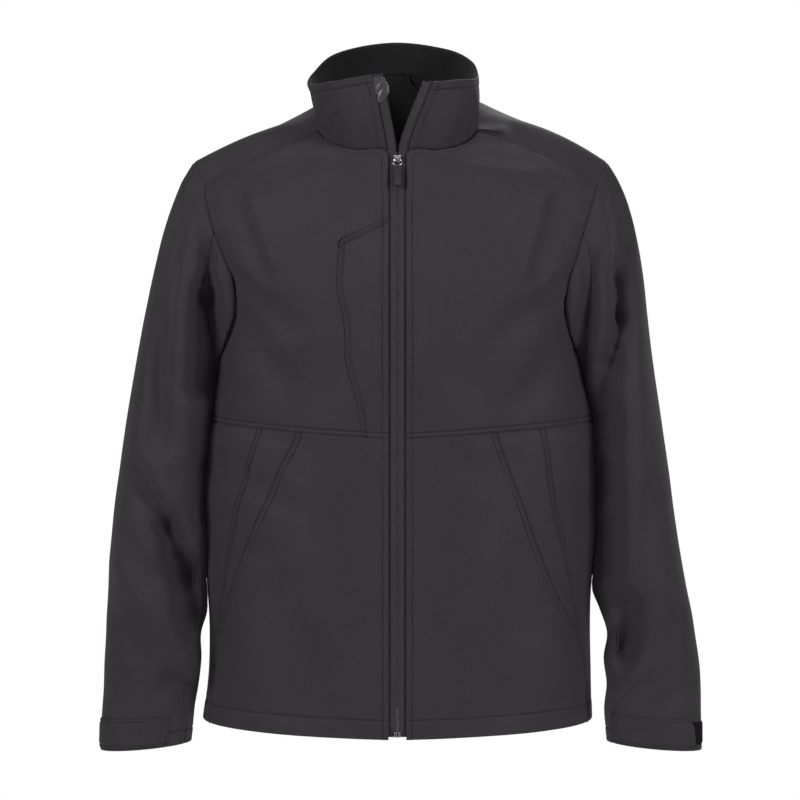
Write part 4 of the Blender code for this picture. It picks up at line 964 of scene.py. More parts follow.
def share_armhole(half, normals):
    """Match the cloth's direction on both sides of the armhole seam."""
    front, back = (half[face + "_out"][half["rows"][face]["order"] >= 0, -1] for face in FACES)
    count = len(front)
    share_rim(front, normals[0, :count])
    other = back[::-1][1:-1].copy()
    share_rim(other, normals[0, count:])
    for face, values in (("front", front), ("back", np.concatenate((front[-1:], other, front[:1]))[::-1])):
        half[face + "_out"][half["rows"][face]["order"] >= 0, -1] = values


def neck_loop(halves):
    """Neck seam from the wearer's right front edge round the back to the left one."""
    def one_side(half):
        front = half["front"][half["front_index"]["neck_front"]:, 0]
        back = half["back"][half["back_index"]["neck_back"]:-1, 0][::-1]
        return np.concatenate((front, back))
    right, left = one_side(halves["right"]), one_side(halves["left"])
    return np.concatenate((right, left[::-1][1:]))


def collar_surface(halves):
    """Collar from the neck seam to its top edge."""
    cloth = bpy.context.scene.jacket_cloth
    base = neck_loop(halves)
    lengths = lengths_along(base)
    table = np.array(COLLAR_TOP)
    top = through(table[:, 0], table[:, 1:], lengths / lengths[-1])
    up = (stops([0.0, 0.07], [0.0, 0.07, 0.060], cloth.cell * 0.8) / 0.07)[:, None, None]
    share = np.concatenate((up ** COLLAR_FLARE, up ** COLLAR_FLARE, up), axis=2)
    grid = base + (top - base) * share
    grid = grid + unit(grid * (1.0, 1.0, 0.0)) * COLLAR_BOW * np.sin(math.pi * up)
    out = outward(grid, grid * (0.0, 0.0, 1.0))
    table = named(CREASE_COLUMNS, COLLAR_CREASES)
    calm = np.sin(math.pi * np.clip(up[:, :, 0] * 0.9 + 0.05, 0, 1)) * cloth.creases
    shift = lines_shift(table, grid, out) * calm + ripple(grid, 3.0) * calm
    grid = grid - out * shift[..., None]
    out = outward(grid, grid * (0.0, 0.0, 1.0))
    for side, order in (("right", slice(None)), ("left", slice(None, None, -1))):
        half = halves[side]
        start, neck = half["front_index"]["neck_front"], half["back_index"]["neck_back"]
        front = half["front_out"][start:, 0].copy()
        back = half["back_out"][neck:-1, 0][::-1].copy()
        base = out[0, order]
        share_rim(front, base[:len(front)])
        share_rim(back, base[len(front):len(front) + len(back)])
        half["front_out"][start:, 0] = front
        half["back_out"][neck:-1, 0] = back[::-1]
        half["back_out"][-1, 0] = front[-1]
    for half in halves.values():
        half["back_out"][half["back_index"]["neck_back"], 0] = out[0, out.shape[1] // 2]
    return surface(grid, out)


def surfaces():
    """All surfaces of the jacket, worked out once and shared by the operators."""
    if not MADE:
        halves = body_surfaces()
        MADE["sleeves"] = {side: sleeve_surface(side, halves[side]) for side in SIDES}
        MADE["collar"] = collar_surface(halves)
        MADE["fronts"] = {side: surface(half["front"], half["front_out"]) for side, half in halves.items()}
        MADE["halves"] = halves
    return MADE


def tint(name):
    """One of the jacket's colours."""
    return tuple(getattr(bpy.context.scene.jacket_colours, name))


def node(tree, kind, settings=None, **links):
    """Add a node with its settings and the sockets or values of its inputs."""
    made = tree.nodes.new(kind)
    for key, value in (settings or {}).items():
        setattr(made, key, value)
    for key, value in links.items():
        by_number = key[0] == "i" and key[1:].isdigit()
        socket = made.inputs[int(key[1:]) if by_number else key.replace("_", " ")]
        if isinstance(value, bpy.types.NodeSocket):
            tree.links.new(value, socket)
        else:
            socket.default_value = value
    return made


def maths(tree, operation, *values):
    """Result of a calculation between sockets and numbers."""
    inputs = {"i%d" % i: value for i, value in enumerate(values)}
    return node(tree, "ShaderNodeMath", {"operation": operation}, **inputs).outputs[0]


def texture(tree, place, scale, **more):
    """Even noise of this fineness."""
    return node(tree, "ShaderNodeTexNoise", Vector=place, Scale=scale, **more).outputs[0]


def tones(tree, shader, level, ends, dark, light):
    """Base colour that goes from dark to light while a level passes between its ends."""
    ramp = node(tree, "ShaderNodeValToRGB", Fac=level)
    for element, place, colour in zip(ramp.color_ramp.elements, ends, (dark, light)):
        element.position, element.color = place, colour
    tree.links.new(ramp.outputs[0], shader.inputs["Base Color"])


def relief(tree, shader, height, strength, depth):
    """Fine relief of the surface."""
    bump = node(tree, "ShaderNodeBump", Strength=strength, Distance=depth, Height=height)
    tree.links.new(bump.outputs[0], shader.inputs["Normal"])


def shade(shader, **values):
    """Set plain inputs of a shader."""
    for name, value in values.items():
        shader.inputs[name.replace("_", " ")].default_value = value


def darker(colour, share):
    """A share of a colour's brightness."""
    return (*[c * share for c in colour[:3]], 1.0)


def weave(tree, pitch):
    """Height of a plain weave with this thread spacing, in metres of cloth."""
    place = node(tree, "ShaderNodeTexCoord").outputs["UV"]
    apart = node(tree, "ShaderNodeSeparateXYZ", Vector=place)
    waves = [maths(tree, "SINE", maths(tree, "MULTIPLY", apart.outputs[axis], 2 * math.pi / pitch))
             for axis in ("X", "Y")]
    return place, maths(tree, "MULTIPLY", *waves)


def softshell(tree, shader):
    """Softshell: bonded polyester with a fine plain weave outside, so matt, with a dry sheen."""
    place, threads = weave(tree, 0.0024)
    fleck = texture(tree, place, 620.0, Detail=2.0, Roughness=0.6)
    cloud = texture(tree, place, 14.0, Detail=2.0)
    mix = maths(tree, "MULTIPLY_ADD", cloud, 0.25, maths(tree, "MULTIPLY", fleck, 0.75))
    tones(tree, shader, mix, (0.36, 0.62), tint("shell_fleck"), tint("shell"))
    relief(tree, shader, maths(tree, "MULTIPLY_ADD", threads, 0.35, fleck), 0.35, 0.0006)
    shade(shader, Roughness=0.72, Sheen_Weight=0.12, Sheen_Roughness=0.45, Specular_IOR_Level=0.35)


def woven(colour, pitch, roughness, depth=0.0004):
    """A plainly woven or knitted trim in one colour: rows of thread show as fine relief."""
    def build(tree, shader):
        place, threads = weave(tree, pitch)
        base = tint(colour)
        tones(tree, shader, texture(tree, place, 500.0, Detail=1.0), (0.3, 0.7), darker(base, 0.75), base)
        relief(tree, shader, threads, 0.5, depth)
        shade(shader, Roughness=roughness, Specular_IOR_Level=0.3)
    return build


def brushed(colour, roughness):
    """Brushed fleece or pile: short fibres break the surface, so it stays dull and soft."""
    def build(tree, shader):
        place = node(tree, "ShaderNodeTexCoord").outputs["Object"]
        fibres = texture(tree, place, 380.0, Detail=3.0)
        base = tint(colour)
        tones(tree, shader, fibres, (0.3, 0.7), darker(base, 0.6), base)
        relief(tree, shader, fibres, 0.6, 0.0008)
        shade(shader, Roughness=roughness, Sheen_Weight=0.2, Sheen_Roughness=0.5)
    return build


def smooth(colour, roughness, metallic=0.0, grain=300.0, depth=0.00004):
    """A moulded, plated or satin surface: even colour with a faint grain in its gloss."""
    def build(tree, shader):
        grains = texture(tree, node(tree, "ShaderNodeTexCoord").outputs["Object"], grain, Detail=2.0)
        rough = node(tree, "ShaderNodeMapRange", Value=grains, To_Min=roughness * 0.8,
                     To_Max=min(1.0, roughness * 1.25))
        tree.links.new(rough.outputs[0], shader.inputs["Roughness"])
        relief(tree, shader, grains, 0.3, depth)
        shade(shader, Base_Color=tint(colour), Metallic=metallic)
    return build


FINISHES = {
    "softshell, woven face": softshell,
    "softshell, fleece back": brushed("fleece", 0.95),
    "collar lining, brushed tricot": brushed("lining", 0.9),
    "zip tape, woven polyester": woven("tape", 0.0016, 0.7),
    "zip guard, satin tricot": smooth("guard", 0.30, grain=500.0),
    "zip slider, plated zinc": smooth("metal", 0.22, 1.0),
    # the coil's dark colour also carries painted shade of the gap between the tapes
    "zip coil, polyester": smooth("teeth", 0.28),
    "zip pull, moulded PVC": smooth("pull_plastic", 0.5, grain=900.0, depth=0.0001),
    "hook tape, nylon": woven("hook_tape", 0.0018, 0.95, 0.0008),
    "hang loop, woven strap": woven("loop_tape", 0.0018, 0.8, 0.0006),
    # the thread's dark colour also carries painted shade of the stitch grooves
    "sewing thread, polyester": smooth("thread", 0.55),
    "studio floor, painted board": smooth("floor", 0.8, grain=40.0),
}


def material(name):
    """Material of a finish, made once."""
    found = bpy.data.materials.get(name)
    if found:
        return found
    made = bpy.data.materials.new(name)
    made.use_nodes = True
    FINISHES[name](made.node_tree, made.node_tree.nodes["Principled BSDF"])
    return made


def two_faced(piece, back="softshell, fleece back"):
    """Give the inner half of a shell its own finish."""
    piece.data.materials.append(material(back))
    faces = len(piece.data.polygons)
    index = np.zeros(faces, np.int32)
    index[piece["outer"]:2 * piece["outer"]] = 1
    piece.data.polygons.foreach_set("material_index", index)
    del piece["outer"]


def attach(piece, node_name, body="jacket"):
    """Ride on the body and stand for the solid."""
    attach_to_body(piece, body)
    if node_name:
        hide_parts(node_name)
    return piece


def area_of(data):
    """Area of a mesh's faces."""
    values = np.zeros(len(data.polygons))
    data.polygons.foreach_get("area", values)
    return float(values.sum())


def line_from(sheet, rim, distance):
    """Points and directions along a line at a distance from a rim, on the finished cloth."""
    way, at, start, end, inward = rim
    grid, across, out = sheet["top"], sheet["across"], sheet["out"]
    if way == "row":
        grid, across, out = grid.transpose(1, 0, 2), sheet["up"].T, out.transpose(1, 0, 2)
    run = unit(np.gradient(grid[:, at], axis=0))
    over = unit(grid[:, at + inward] - grid[:, at])
    slant = np.maximum(np.linalg.norm(np.cross(run, over), axis=1), 0.3)
    columns = np.arange(at, grid.shape[1]) if inward > 0 else np.arange(at, -1, -1)
    points, normals = [], []
    for r in range(start, end + 1):
        lengths = np.abs(across[r, columns] - across[r, at]) * slant[r]
        points.append(read_axes(distance, lengths, grid[r, columns]))
        normals.append(read_axes(distance, lengths, out[r, columns]))
    return np.array(points), unit(np.array(normals))


def sew(sheet, rim, *distances, trim=0.0):
    """Mark rows of stitches at distances from a rim, short of both its ends by trim."""
    for distance in distances:
        points, out = line_from(sheet, rim, distance)
        lengths = lengths_along(points)
        keep = (lengths >= trim) & (lengths <= lengths[-1] - trim)
        if keep.sum() > 1:
            STITCH_LINES.append(((points + out * STITCH_RAISE)[keep], out[keep]))


def bar_tack(sheet, row, column, count=7):
    """Mark a short bar of close stitches that holds one end of a pocket's opening."""
    place, out, across = sheet["top"][row, column], sheet["out"][row, column], np.array((1.0, 0.0, 0.0))
    beside = unit(np.cross(out, across))
    for k in range(count):
        middle = place + beside * (k - (count - 1) / 2) * BAR_STEP
        ends = np.stack((middle - across * BAR_HALF, middle, middle + across * BAR_HALF))
        STITCH_LINES.append((ends + out * BAR_RAISE, np.stack((out,) * 3)))


def repeat_tree(name, inputs):
    """Empty Geometry Nodes tree with named inputs for sizes."""
    tree = bpy.data.node_groups.new(name, "GeometryNodeTree")
    tree.interface.new_socket("Geometry", in_out="INPUT", socket_type="NodeSocketGeometry")
    sockets = {}
    for label, value in inputs.items():
        sockets[label] = tree.interface.new_socket(label, in_out="INPUT", socket_type="NodeSocketFloat")
        sockets[label].default_value = value
        sockets[label].subtype = "DISTANCE"
    tree.interface.new_socket("Geometry", in_out="OUTPUT", socket_type="NodeSocketGeometry")
    return tree, sockets


def along_lines(name, lines, inputs, finish, form):
    """Copies of a small form along lines, facing out of the cloth, as one plain mesh."""
    points = np.concatenate([line[0] for line in lines])
    outs = np.concatenate([line[1] for line in lines])
    edges, start = [], 0
    for line, _ in lines:
        edges += [(start + i, start + i + 1) for i in range(len(line) - 1)]
        start += len(line)
    guide = bpy.data.meshes.new(name)
    guide.from_pydata(points.tolist(), edges, [])
    facing = guide.attributes.new("facing", "FLOAT_VECTOR", "POINT")
    facing.data.foreach_set("vector", outs.astype(np.float32).reshape(-1))
    holder = bpy.data.objects.new(name + "_guide", guide)
    bpy.context.scene.collection.objects.link(holder)
    tree, sockets = repeat_tree(name, inputs)
    start_node = tree.nodes.new("NodeGroupInput")
    end_node = tree.nodes.new("NodeGroupOutput")
    curve = node(tree, "GeometryNodeMeshToCurve", Mesh=start_node.outputs["Geometry"])
    spaced = node(tree, "GeometryNodeResampleCurve", {"mode": "LENGTH"}, Curve=curve.outputs[0],
                  Length=start_node.outputs["Spacing"])
    tangent = node(tree, "GeometryNodeInputTangent")
    first = node(tree, "FunctionNodeAlignEulerToVector", {"axis": "X"}, Vector=tangent.outputs[0])
    out = node(tree, "GeometryNodeInputNamedAttribute", {"data_type": "FLOAT_VECTOR"}, Name="facing")
    turned = node(tree, "FunctionNodeAlignEulerToVector", {"axis": "Z", "pivot_axis": "X"},
                  Rotation=first.outputs[0], Vector=out.outputs[0])
    size = node(tree, "ShaderNodeCombineXYZ", X=start_node.outputs["Length"], Y=start_node.outputs["Width"],
                Z=start_node.outputs["Height"])
    shape = form(tree)
    placed = node(tree, "GeometryNodeInstanceOnPoints", Points=spaced.outputs[0], Instance=shape,
                  Rotation=turned.outputs[0], Scale=size.outputs[0])
    real = node(tree, "GeometryNodeRealizeInstances", Geometry=placed.outputs[0])
    painted = node(tree, "GeometryNodeSetMaterial", Geometry=real.outputs[0], Material=material(finish))
    tree.links.new(painted.outputs[0], end_node.inputs[0])
    modifier = holder.modifiers.new("copies", "NODES")
    modifier.node_group = tree
    for label, value in inputs.items():
        modifier[sockets[label].identifier] = value
    graph = bpy.context.evaluated_depsgraph_get()
    data = bpy.data.meshes.new_from_object(holder.evaluated_get(graph))
    data.name = name
    holder.modifiers.remove(modifier)
    bpy.data.objects.remove(holder)
    data.shade_smooth()
    piece = bpy.data.objects.new(name, data)
    if not piece.data.materials:
        piece.data.materials.append(material(finish))
    bpy.context.scene.collection.objects.link(piece)
    return piece


def bead(tree):
    """One stitch or tooth: a rounded bead of unit size."""
    sphere = node(tree, "GeometryNodeMeshUVSphere", Segments=8, Rings=4, Radius=0.5)
    return sphere.outputs["Mesh"]


def cells_of(sheet, top, bottom, left, right):
    """Mask of the grid cells between two rows and two columns."""
    mask = np.zeros((sheet["grid"].shape[0] - 1, sheet["grid"].shape[1] - 1), bool)
    mask[top:bottom, left:right] = True
    return mask


def seam_sheet(piece, sheet, mask):
    """Work out the rounded width and length of a cut piece's own cloth, which nothing uses further."""
    area = area_of(piece.data) / 2
    wide = float((np.diff(sheet["across"], axis=1)[:-1] * mask).sum(axis=1).max())
    long = float((np.diff(sheet["up"], axis=0)[:, :-1] * mask).sum(axis=0).max())
    wide = min(wide, area / (0.45 * long))    # a curved top edge is longer than the cut is wide
    long = max(long, area / wide * 1.001)
    if min(wide, long) < NARROWEST:
        return
    wide, long = round(wide, 4), round(long, 4)


def cut_piece(node_name, sheet, mask, rims, thickness=None, finish="softshell, woven face", slot="shell",
              **more):
    """One cut piece of the jacket: its shell, its fleece back and its body."""
    cloth = bpy.context.scene.jacket_cloth
    piece = shell(node_name + "_cloth", sheet, mask, rims, thickness or cloth.shell, finish, **more)
    if finish == "softshell, woven face":
        two_faced(piece)
    else:
        del piece["outer"]
    attach(piece, node_name)
    seam_sheet(piece, sheet, mask)
    return piece


class JACKET_OT_fronts(bpy.types.Operator):
    """Make both fronts: upper panels, chest pocket, lower panels, hand pockets and side panels"""
    bl_idname = "jacket.fronts"
    bl_label = "Fronts"

    def execute(self, context):
        sewing = context.scene.jacket_sewing
        edge, zip_edge, hem = sewing.edge, sewing.zip_edge, sewing.hem
        for side in SIDES:
            sheet, half = surfaces()["fronts"][side], surfaces()["halves"][side]
            index, (_, pocket, inner, outer, last) = half["front_index"], half["seams"]
            waist, tip, mouth = index["waist"], index["tip"], index["pocket_top"]
            neck, top = index["neck_front"], len(sheet["grid"]) - 1
            upper = cells_of(sheet, waist, top, 0, last)
            rims = [(edge, "row", waist, 0, last), (0, "column", last, waist, top),
                    (edge, "row", top, 0, last), (0, "column", 0, neck, top)]
            if side == "right":
                chest = cells_of(sheet, waist, mouth, 0, pocket)
                upper &= ~chest
                rims += [(edge, "column", pocket, waist, mouth), (edge, "row", mouth, 0, pocket),
                         (zip_edge, "column", 0, mouth, neck, "folded")]
                cut_piece("chest_pocket_right", sheet, chest,
                          [(edge, "row", waist, 0, pocket), (0, "column", pocket, waist, mouth),
                           (0, "row", mouth, 0, pocket), (zip_edge, "column", 0, waist, mouth, "folded")])
                sew(sheet, ("column", 0, waist, mouth, 1), zip_edge)
            else:
                rims.append((zip_edge, "column", 0, waist, neck, "folded"))
            cut_piece("front_upper_" + side, sheet, upper, rims)
            if side == "right":
                bar_tack(sheet, int((waist + mouth) / 2), pocket)
                sew(sheet, ("column", pocket, waist, mouth, 1), FIRST_ROW, edge)
                sew(sheet, ("row", mouth, 0, pocket, 1), FIRST_ROW, edge)
            sew(sheet, ("column", 0, mouth if side == "right" else waist, neck, 1), zip_edge)
            sew(sheet, ("row", top, 0, last, -1), SHOULDER_ROW, edge)
            sew(sheet, ("row", waist, pocket if side == "right" else 0, last, 1), FIRST_ROW, edge)
            cut_piece("front_lower_" + side, sheet, cells_of(sheet, 0, waist, 0, inner),
                      [(0, "row", waist, 0, inner), (zip_edge, "column", 0, 0, waist, "folded"),
                       (edge, "column", inner, tip, waist), (hem, "row", 0, 0, inner, "folded")])
            sew(sheet, ("column", 0, 0, waist, 1), zip_edge)
            sew(sheet, ("column", inner, tip, waist, -1), FIRST_ROW, edge)
            sew(sheet, ("row", 0, 0, inner, 1), hem)
            cut_piece("hand_pocket_" + side, sheet, cells_of(sheet, tip, waist, inner, outer),
                      [(0, "row", waist, inner, outer), (0, "column", inner, tip, waist),
                       (0, "column", outer, tip, waist)])
            cut_piece("front_side_" + side, sheet, cells_of(sheet, 0, waist, outer, last),
                      [(0, "row", waist, outer, last), (edge, "column", outer, 0, waist),
                       (0, "column", last, 0, waist), (hem, "row", 0, outer, last, "folded")])
            bar_tack(sheet, index["pocket_bar"], outer)
            sew(sheet, ("column", outer, 0, waist, 1), FIRST_ROW, edge)
            sew(sheet, ("row", 0, outer, last, 1), hem)
        return {"FINISHED"}


class JACKET_OT_back(bpy.types.Operator):
    """Make the back, which comes over both shoulders to the forward seams"""
    bl_idname = "jacket.back"
    bl_label = "Back"

    def execute(self, context):
        sewing = context.scene.jacket_sewing
        halves = surfaces()["halves"]
        right, left = halves["right"], halves["left"]
        split = np.concatenate((right["back"][:, ::-1], left["back"]), axis=1)
        out = np.concatenate((right["back_out"][:, ::-1], left["back_out"]), axis=1)
        middle, last, top = right["back"].shape[1] - 1, split.shape[1] - 1, len(split) - 1
        sheet, (_, last, middle, _) = thinned(surface(split, out), (0, last), (middle, middle + 1))
        mask = cells_of(sheet, 0, top, 0, last)
        mask[:, middle] = False
        rims = [(0, "column", 0, 0, top), (0, "column", last, 0, top),
                (sewing.hem, "row", 0, 0, last, "folded"),
                (0, "row", top, 0, middle), (0, "row", top, middle + 1, last)]
        cut_piece("back", sheet, mask, rims, join=(left["back_index"]["neck_back"], middle))
        sew(sheet, ("row", 0, 0, last, 1), sewing.hem)
        return {"FINISHED"}


class JACKET_OT_sleeves(bpy.types.Operator):
    """Make both two-piece sleeves with their turned hems"""
    bl_idname = "jacket.sleeves"
    bl_label = "Sleeves"

    def execute(self, context):
        sewing = context.scene.jacket_sewing
        for side in SIDES:
            sheet = surfaces()["sleeves"][side]
            end, last = len(sheet["grid"]) - 1, sheet["grid"].shape[1] - 1
            sheet, (front, back, last) = thinned(sheet, sheet["seams"], (last,))
            top = cells_of(sheet, 0, end, front, back)
            rims = [(0, "row", 0, 0, last), (0, "column", front, 0, end), (0, "column", back, 0, end),
                    (sewing.cuff, "row", end, 0, last, "folded")]
            cut_piece("sleeve_top_" + side, sheet, top, rims)
            cut_piece("sleeve_under_" + side, sheet, ~top, rims)
            sew(sheet, ("row", end, 0, last, -1), sewing.cuff)
        return {"FINISHED"}


def strip(sheet, depths, start, ends, columns, lift):
    """Grid sampled from a closed surface: depths are rows, and each row runs from start to its end."""
    rows = np.interp(depths, sheet["depth"], np.arange(len(sheet["depth"])))
    shares = np.linspace(0, 1, columns)
    found = {"grid": [], "out": []}
    for row, end in zip(rows, ends):
        low = int(min(row, len(sheet["grid"]) - 2))
        at = shares * (end - start) + start
        for source, kept in found.items():
            above, below = (read_axes(at, sheet["across"][r], sheet[source][r]) for r in (low, low + 1))
            kept.append(above * (1 - row + low) + below * (row - low))
    out = unit(np.array(found["out"]))
    return surface(np.array(found["grid"]) + out * lift, out)


class JACKET_OT_cuffs(bpy.types.Operator):
    """Make the cuff tabs with their box stitching and the hook tape under their ends"""
    bl_idname = "jacket.cuffs"
    bl_label = "Cuff tabs"

    def execute(self, context):
        cloth = context.scene.jacket_cloth
        for side in SIDES:
            sheet = surfaces()["sleeves"][side]
            depth = -sheet["grid"][sheet["cap"]:, :, 2].mean(axis=1)
            sheet["depth"] = np.concatenate((np.full(sheet["cap"], -1.0), depth))
            coarse = np.interp(np.arange(SLEEVE_CORNERS[-1]), SLEEVE_CORNERS, [turn for _, turn in CAP_TURNS])
            first, last = (coarse[np.argmin(np.abs(coarse - turn))] for turn in TAB_TURNS[side])
            patch_end = coarse[np.argmin(np.abs(coarse - last)) + 2]
            turns, row = -np.append(sheet["turns"], -180.0), sheet["across"][-8]
            start, end, patch = (float(np.interp(-turn, turns, row)) for turn in (first, last, patch_end))
            low, high = TAB_DEPTHS
            depths = np.linspace(low, high, 22)
            half, middle = (high - low) / 2, (high + low) / 2
            inside = np.maximum(np.abs(depths - middle) - (half - TAB_CORNER), 0.0)
            shrink = TAB_CORNER - np.sqrt(np.maximum(TAB_CORNER**2 - inside**2, 0.0))
            tab = strip(sheet, depths, start, end - shrink, 44, SEAM_GAP + cloth.tab + TAB_LIFT)
            bottom, columns = (size - 1 for size in tab["grid"].shape[:2])
            edges = (("row", 0, 0, columns, 1), ("row", bottom, 0, columns, -1),
                     ("column", 0, 0, bottom, 1), ("column", columns, 0, bottom, -1))
            cut_piece("cuff_tab_" + side, tab, cells_of(tab, 0, bottom, 0, columns),
                      [(TAB_STITCH, *rim[:4]) for rim in edges], thickness=cloth.tab)
            for rim in edges:
                sew(tab, rim, TAB_STITCH, trim=TAB_STITCH)
            sew(tab, ("column", 0, 0, bottom, 1), TAB_BOX, trim=TAB_STITCH)
            depths = np.linspace(low + PATCH_MARGIN, high - PATCH_MARGIN, 12)
            hook = strip(sheet, depths, end - PATCH_HIDDEN, np.full(12, patch), 10, SEAM_GAP + HOOK_LIFT)
            cut_piece("cuff_patch_" + side, hook, cells_of(hook, 0, 11, 0, 9),
                      [(0, "row", 0, 0, 9), (0, "row", 11, 0, 9)],
                      thickness=HOOK, finish="hook tape, nylon", slot="hook_tape")
        return {"FINISHED"}


class JACKET_OT_collar(bpy.types.Operator):
    """Make the standing collar, the lining inside it and the hang loop"""
    bl_idname = "jacket.collar"
    bl_label = "Collar"

    def execute(self, context):
        cloth, sewing = context.scene.jacket_cloth, context.scene.jacket_sewing
        sheet = surfaces()["collar"]
        top, last = (size - 1 for size in sheet["grid"].shape[:2])
        ends = [("column", 0, 0, top, 1), ("column", last, 0, top, -1)]
        rims = [(0, "row", 0, 0, last), (COLLAR_ROW, "row", top, 0, last, "folded"),
                *[(sewing.zip_edge, *rim[:4], "folded") for rim in ends]]
        cut_piece("collar", sheet, cells_of(sheet, 0, top, 0, last), rims)
        sew(sheet, ("row", top, 0, last, -1), COLLAR_ROW, trim=COLLAR_TRIM)
        for rim in ends:
            sew(sheet, rim, sewing.zip_edge)
        orders = [surfaces()["halves"][side]["rows"]["front"]["order"] for side in SIDES]
        start, left_out = (int(np.sum((order >= UNLINED[0]) & (order < UNLINED[1]))) for order in orders)
        stop = last - left_out
        cut_piece("collar_facing", sheet, cells_of(sheet, 1, top, start, stop),
                  [(0, "row", top, start, stop)], thickness=cloth.facing,
                  finish="collar lining, brushed tricot", slot="lining",
                  lift=-cloth.shell - FACING_GAP, inset=0.0008, soft=0.0)
        half = surfaces()["halves"]["left"]
        neck = half["back_index"]["neck_back"]
        inside = half["back"][neck:, 0] - half["back_out"][neck:, 0] * (cloth.shell + 2 * SEAM_GAP)
        inside = inside[inside[:, 0] < 0.055]
        ends = read_axes(LOOP_X, inside[:, 0], inside)
        centre, reach = sum(LOOP_X) / 2, (LOOP_X[1] - LOOP_X[0]) / 2
        turns = np.linspace(0.0, math.pi, 49)
        rows = []
        for narrow in np.linspace(0.0, LOOP_WIDTH, 7):
            x = centre - (reach - narrow) * np.cos(turns)
            rows.append(read_axes(x, LOOP_X, ends) + (0.0, -LOOP_THICK, -LOOP_UNDER))
            rows[-1][:, 0] = x
            rows[-1][:, 2] -= (LOOP_DROP - narrow) * np.sin(turns)
        loop = np.array(rows)
        loop = surface(loop, np.zeros(loop.shape) + (0.0, -1.0, 0.0))
        cut_piece("hang_loop", loop, cells_of(loop, 0, 6, 0, 48),
                  [(0, "row", 0, 0, 48), (0, "row", 6, 0, 48)], thickness=LOOP_THICK,
                  finish="hang loop, woven strap", slot="loop_tape", inset=0.0, soft=0.25)
        return {"FINISHED"}


def tape_surface(side):
    """Zip tape of one side: from its open edge, past the front's edge, to its hidden edge."""
    cloth = bpy.context.scene.jacket_cloth
    sign = SIDES[side]
    half, front, collar = surfaces()["halves"][side], surfaces()["fronts"][side], surfaces()["collar"]
    neck = half["front_index"]["neck_front"]
    column, way = (0, 1) if side == "right" else (collar["grid"].shape[1] - 1, -1)
    order = half["rows"]["front"]["order"][:neck + 1]
    reach = TAPE_UNDER * (1.0 - (1.0 - TAPE_WAIST) * np.clip(order - 6.0, 0.0, 1.0))
    edges, hiddens, outs, outs_hidden = [], [], [], []
    for source, at, rows, go, reaches in (
            (front, 0, range(neck + 1), 1, reach),
            (collar, column, range(1, len(collar["grid"])), way, None)):
        for r in rows:
            columns = np.arange(at, at + 40 * go, go)
            columns = columns[(columns >= 0) & (columns < source["grid"].shape[1])]
            lengths = np.abs(source["across"][r, columns] - source["across"][r, at])
            if reaches is not None:
                far = reaches[r]
            else:
                rise = source["up"][r, at] / 0.018
                far = TAPE_UNDER * (TAPE_WAIST + (1.0 - TAPE_WAIST) * min(rise, 1.0))
            edges.append(source["grid"][r, at])
            outs.append(source["out"][r, at])
            hiddens.append(read_axes(far, lengths, source["grid"][r, columns]))
            outs_hidden.append(read_axes(far, lengths, source["out"][r, columns]))
    edge, hidden, out, out_hidden = (np.array(item) for item in (edges, hiddens, outs, outs_hidden))
    open_edge = edge.copy()
    open_edge[:, 0] = sign * np.maximum(TEETH_HALF, np.abs(edge[:, 0]) - OPEN_TAPE)
    shares = np.array(TAPE_SHARES)[:, None, None]
    left = open_edge + (edge - open_edge) * shares
    right = edge + (hidden - edge) * shares[1:]
    grid = np.concatenate((left, right)).transpose(1, 0, 2)
    normals = np.concatenate((np.repeat(out[None], len(shares), axis=0),
                              unit(out + (out_hidden - out) * shares[1:])))
    normals = unit(normals.transpose(1, 0, 2))
    low = grid[0] + unit(grid[3] - grid[0]) * TAPE_RISE
    keep = grid[:, :, 2].min(axis=1) > low[:, 2].max() + 0.0005
    grid = np.concatenate((low[None], grid[keep]))
    normals = np.concatenate((normals[:1], normals[keep]))
    return surface(grid - normals * (cloth.shell + TAPE_LIFT), normals)


def slider_place():
    """Frame of the slider at the pull's hinge, leaning with the zip."""
    joint = next(joint for joint in frame["joints"] if joint["name"] == "zip_pull_hinge")
    at = Vector(joint["pos_m"])
    low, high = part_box("zip_pull")
    middle = (Vector(low) + Vector(high)) / 2
    lean = math.atan2(middle.y - at.y, middle.z - at.z) - math.pi
    return Matrix.Translation(at) @ Matrix.Rotation(-lean, 4, "X")


def solid(name, build, bevel, finish, segments=3, place=None):
    """A hard piece from a bmesh builder, set in its place, with rounded edges applied to its mesh."""
    mesh = bmesh.new()
    build(mesh)
    mesh.transform(place or Matrix())
    bmesh.ops.remove_doubles(mesh, verts=mesh.verts, dist=1e-7)
    bmesh.ops.recalc_face_normals(mesh, faces=mesh.faces)
    if bevel:
        sharp = [edge for edge in mesh.edges if len(edge.link_faces) == 2
                 and edge.calc_face_angle(0.0) > math.radians(35)]
        bmesh.ops.bevel(mesh, geom=sharp, offset=bevel, segments=segments, profile=0.5, affect="EDGES",
                        clamp_overlap=True)
    data = bpy.data.meshes.new(name)
    mesh.to_mesh(data)
    mesh.free()
    data.shade_smooth()
    data.set_sharp_from_angle(angle=math.radians(45))
    return finished(name, data, finish)


def plate(mesh, outline, low, high):
    """Extruded outline of (x, z) points between two depths."""
    rings = [[mesh.verts.new((x, y, z)) for x, z in outline] for y in (low, high)]
    mesh.faces.new(rings[0])
    mesh.faces.new(rings[1][::-1])
    for i in range(len(outline)):
        j = (i + 1) % len(outline)
        mesh.faces.new((rings[0][i], rings[1][i], rings[1][j], rings[0][j]))


def bar(mesh, half, bottom, top, low, high):
    """Upright bar, as wide on both sides of the middle."""
    plate(mesh, [(-half, bottom), (half, bottom), (half, top), (-half, top)], low, high)


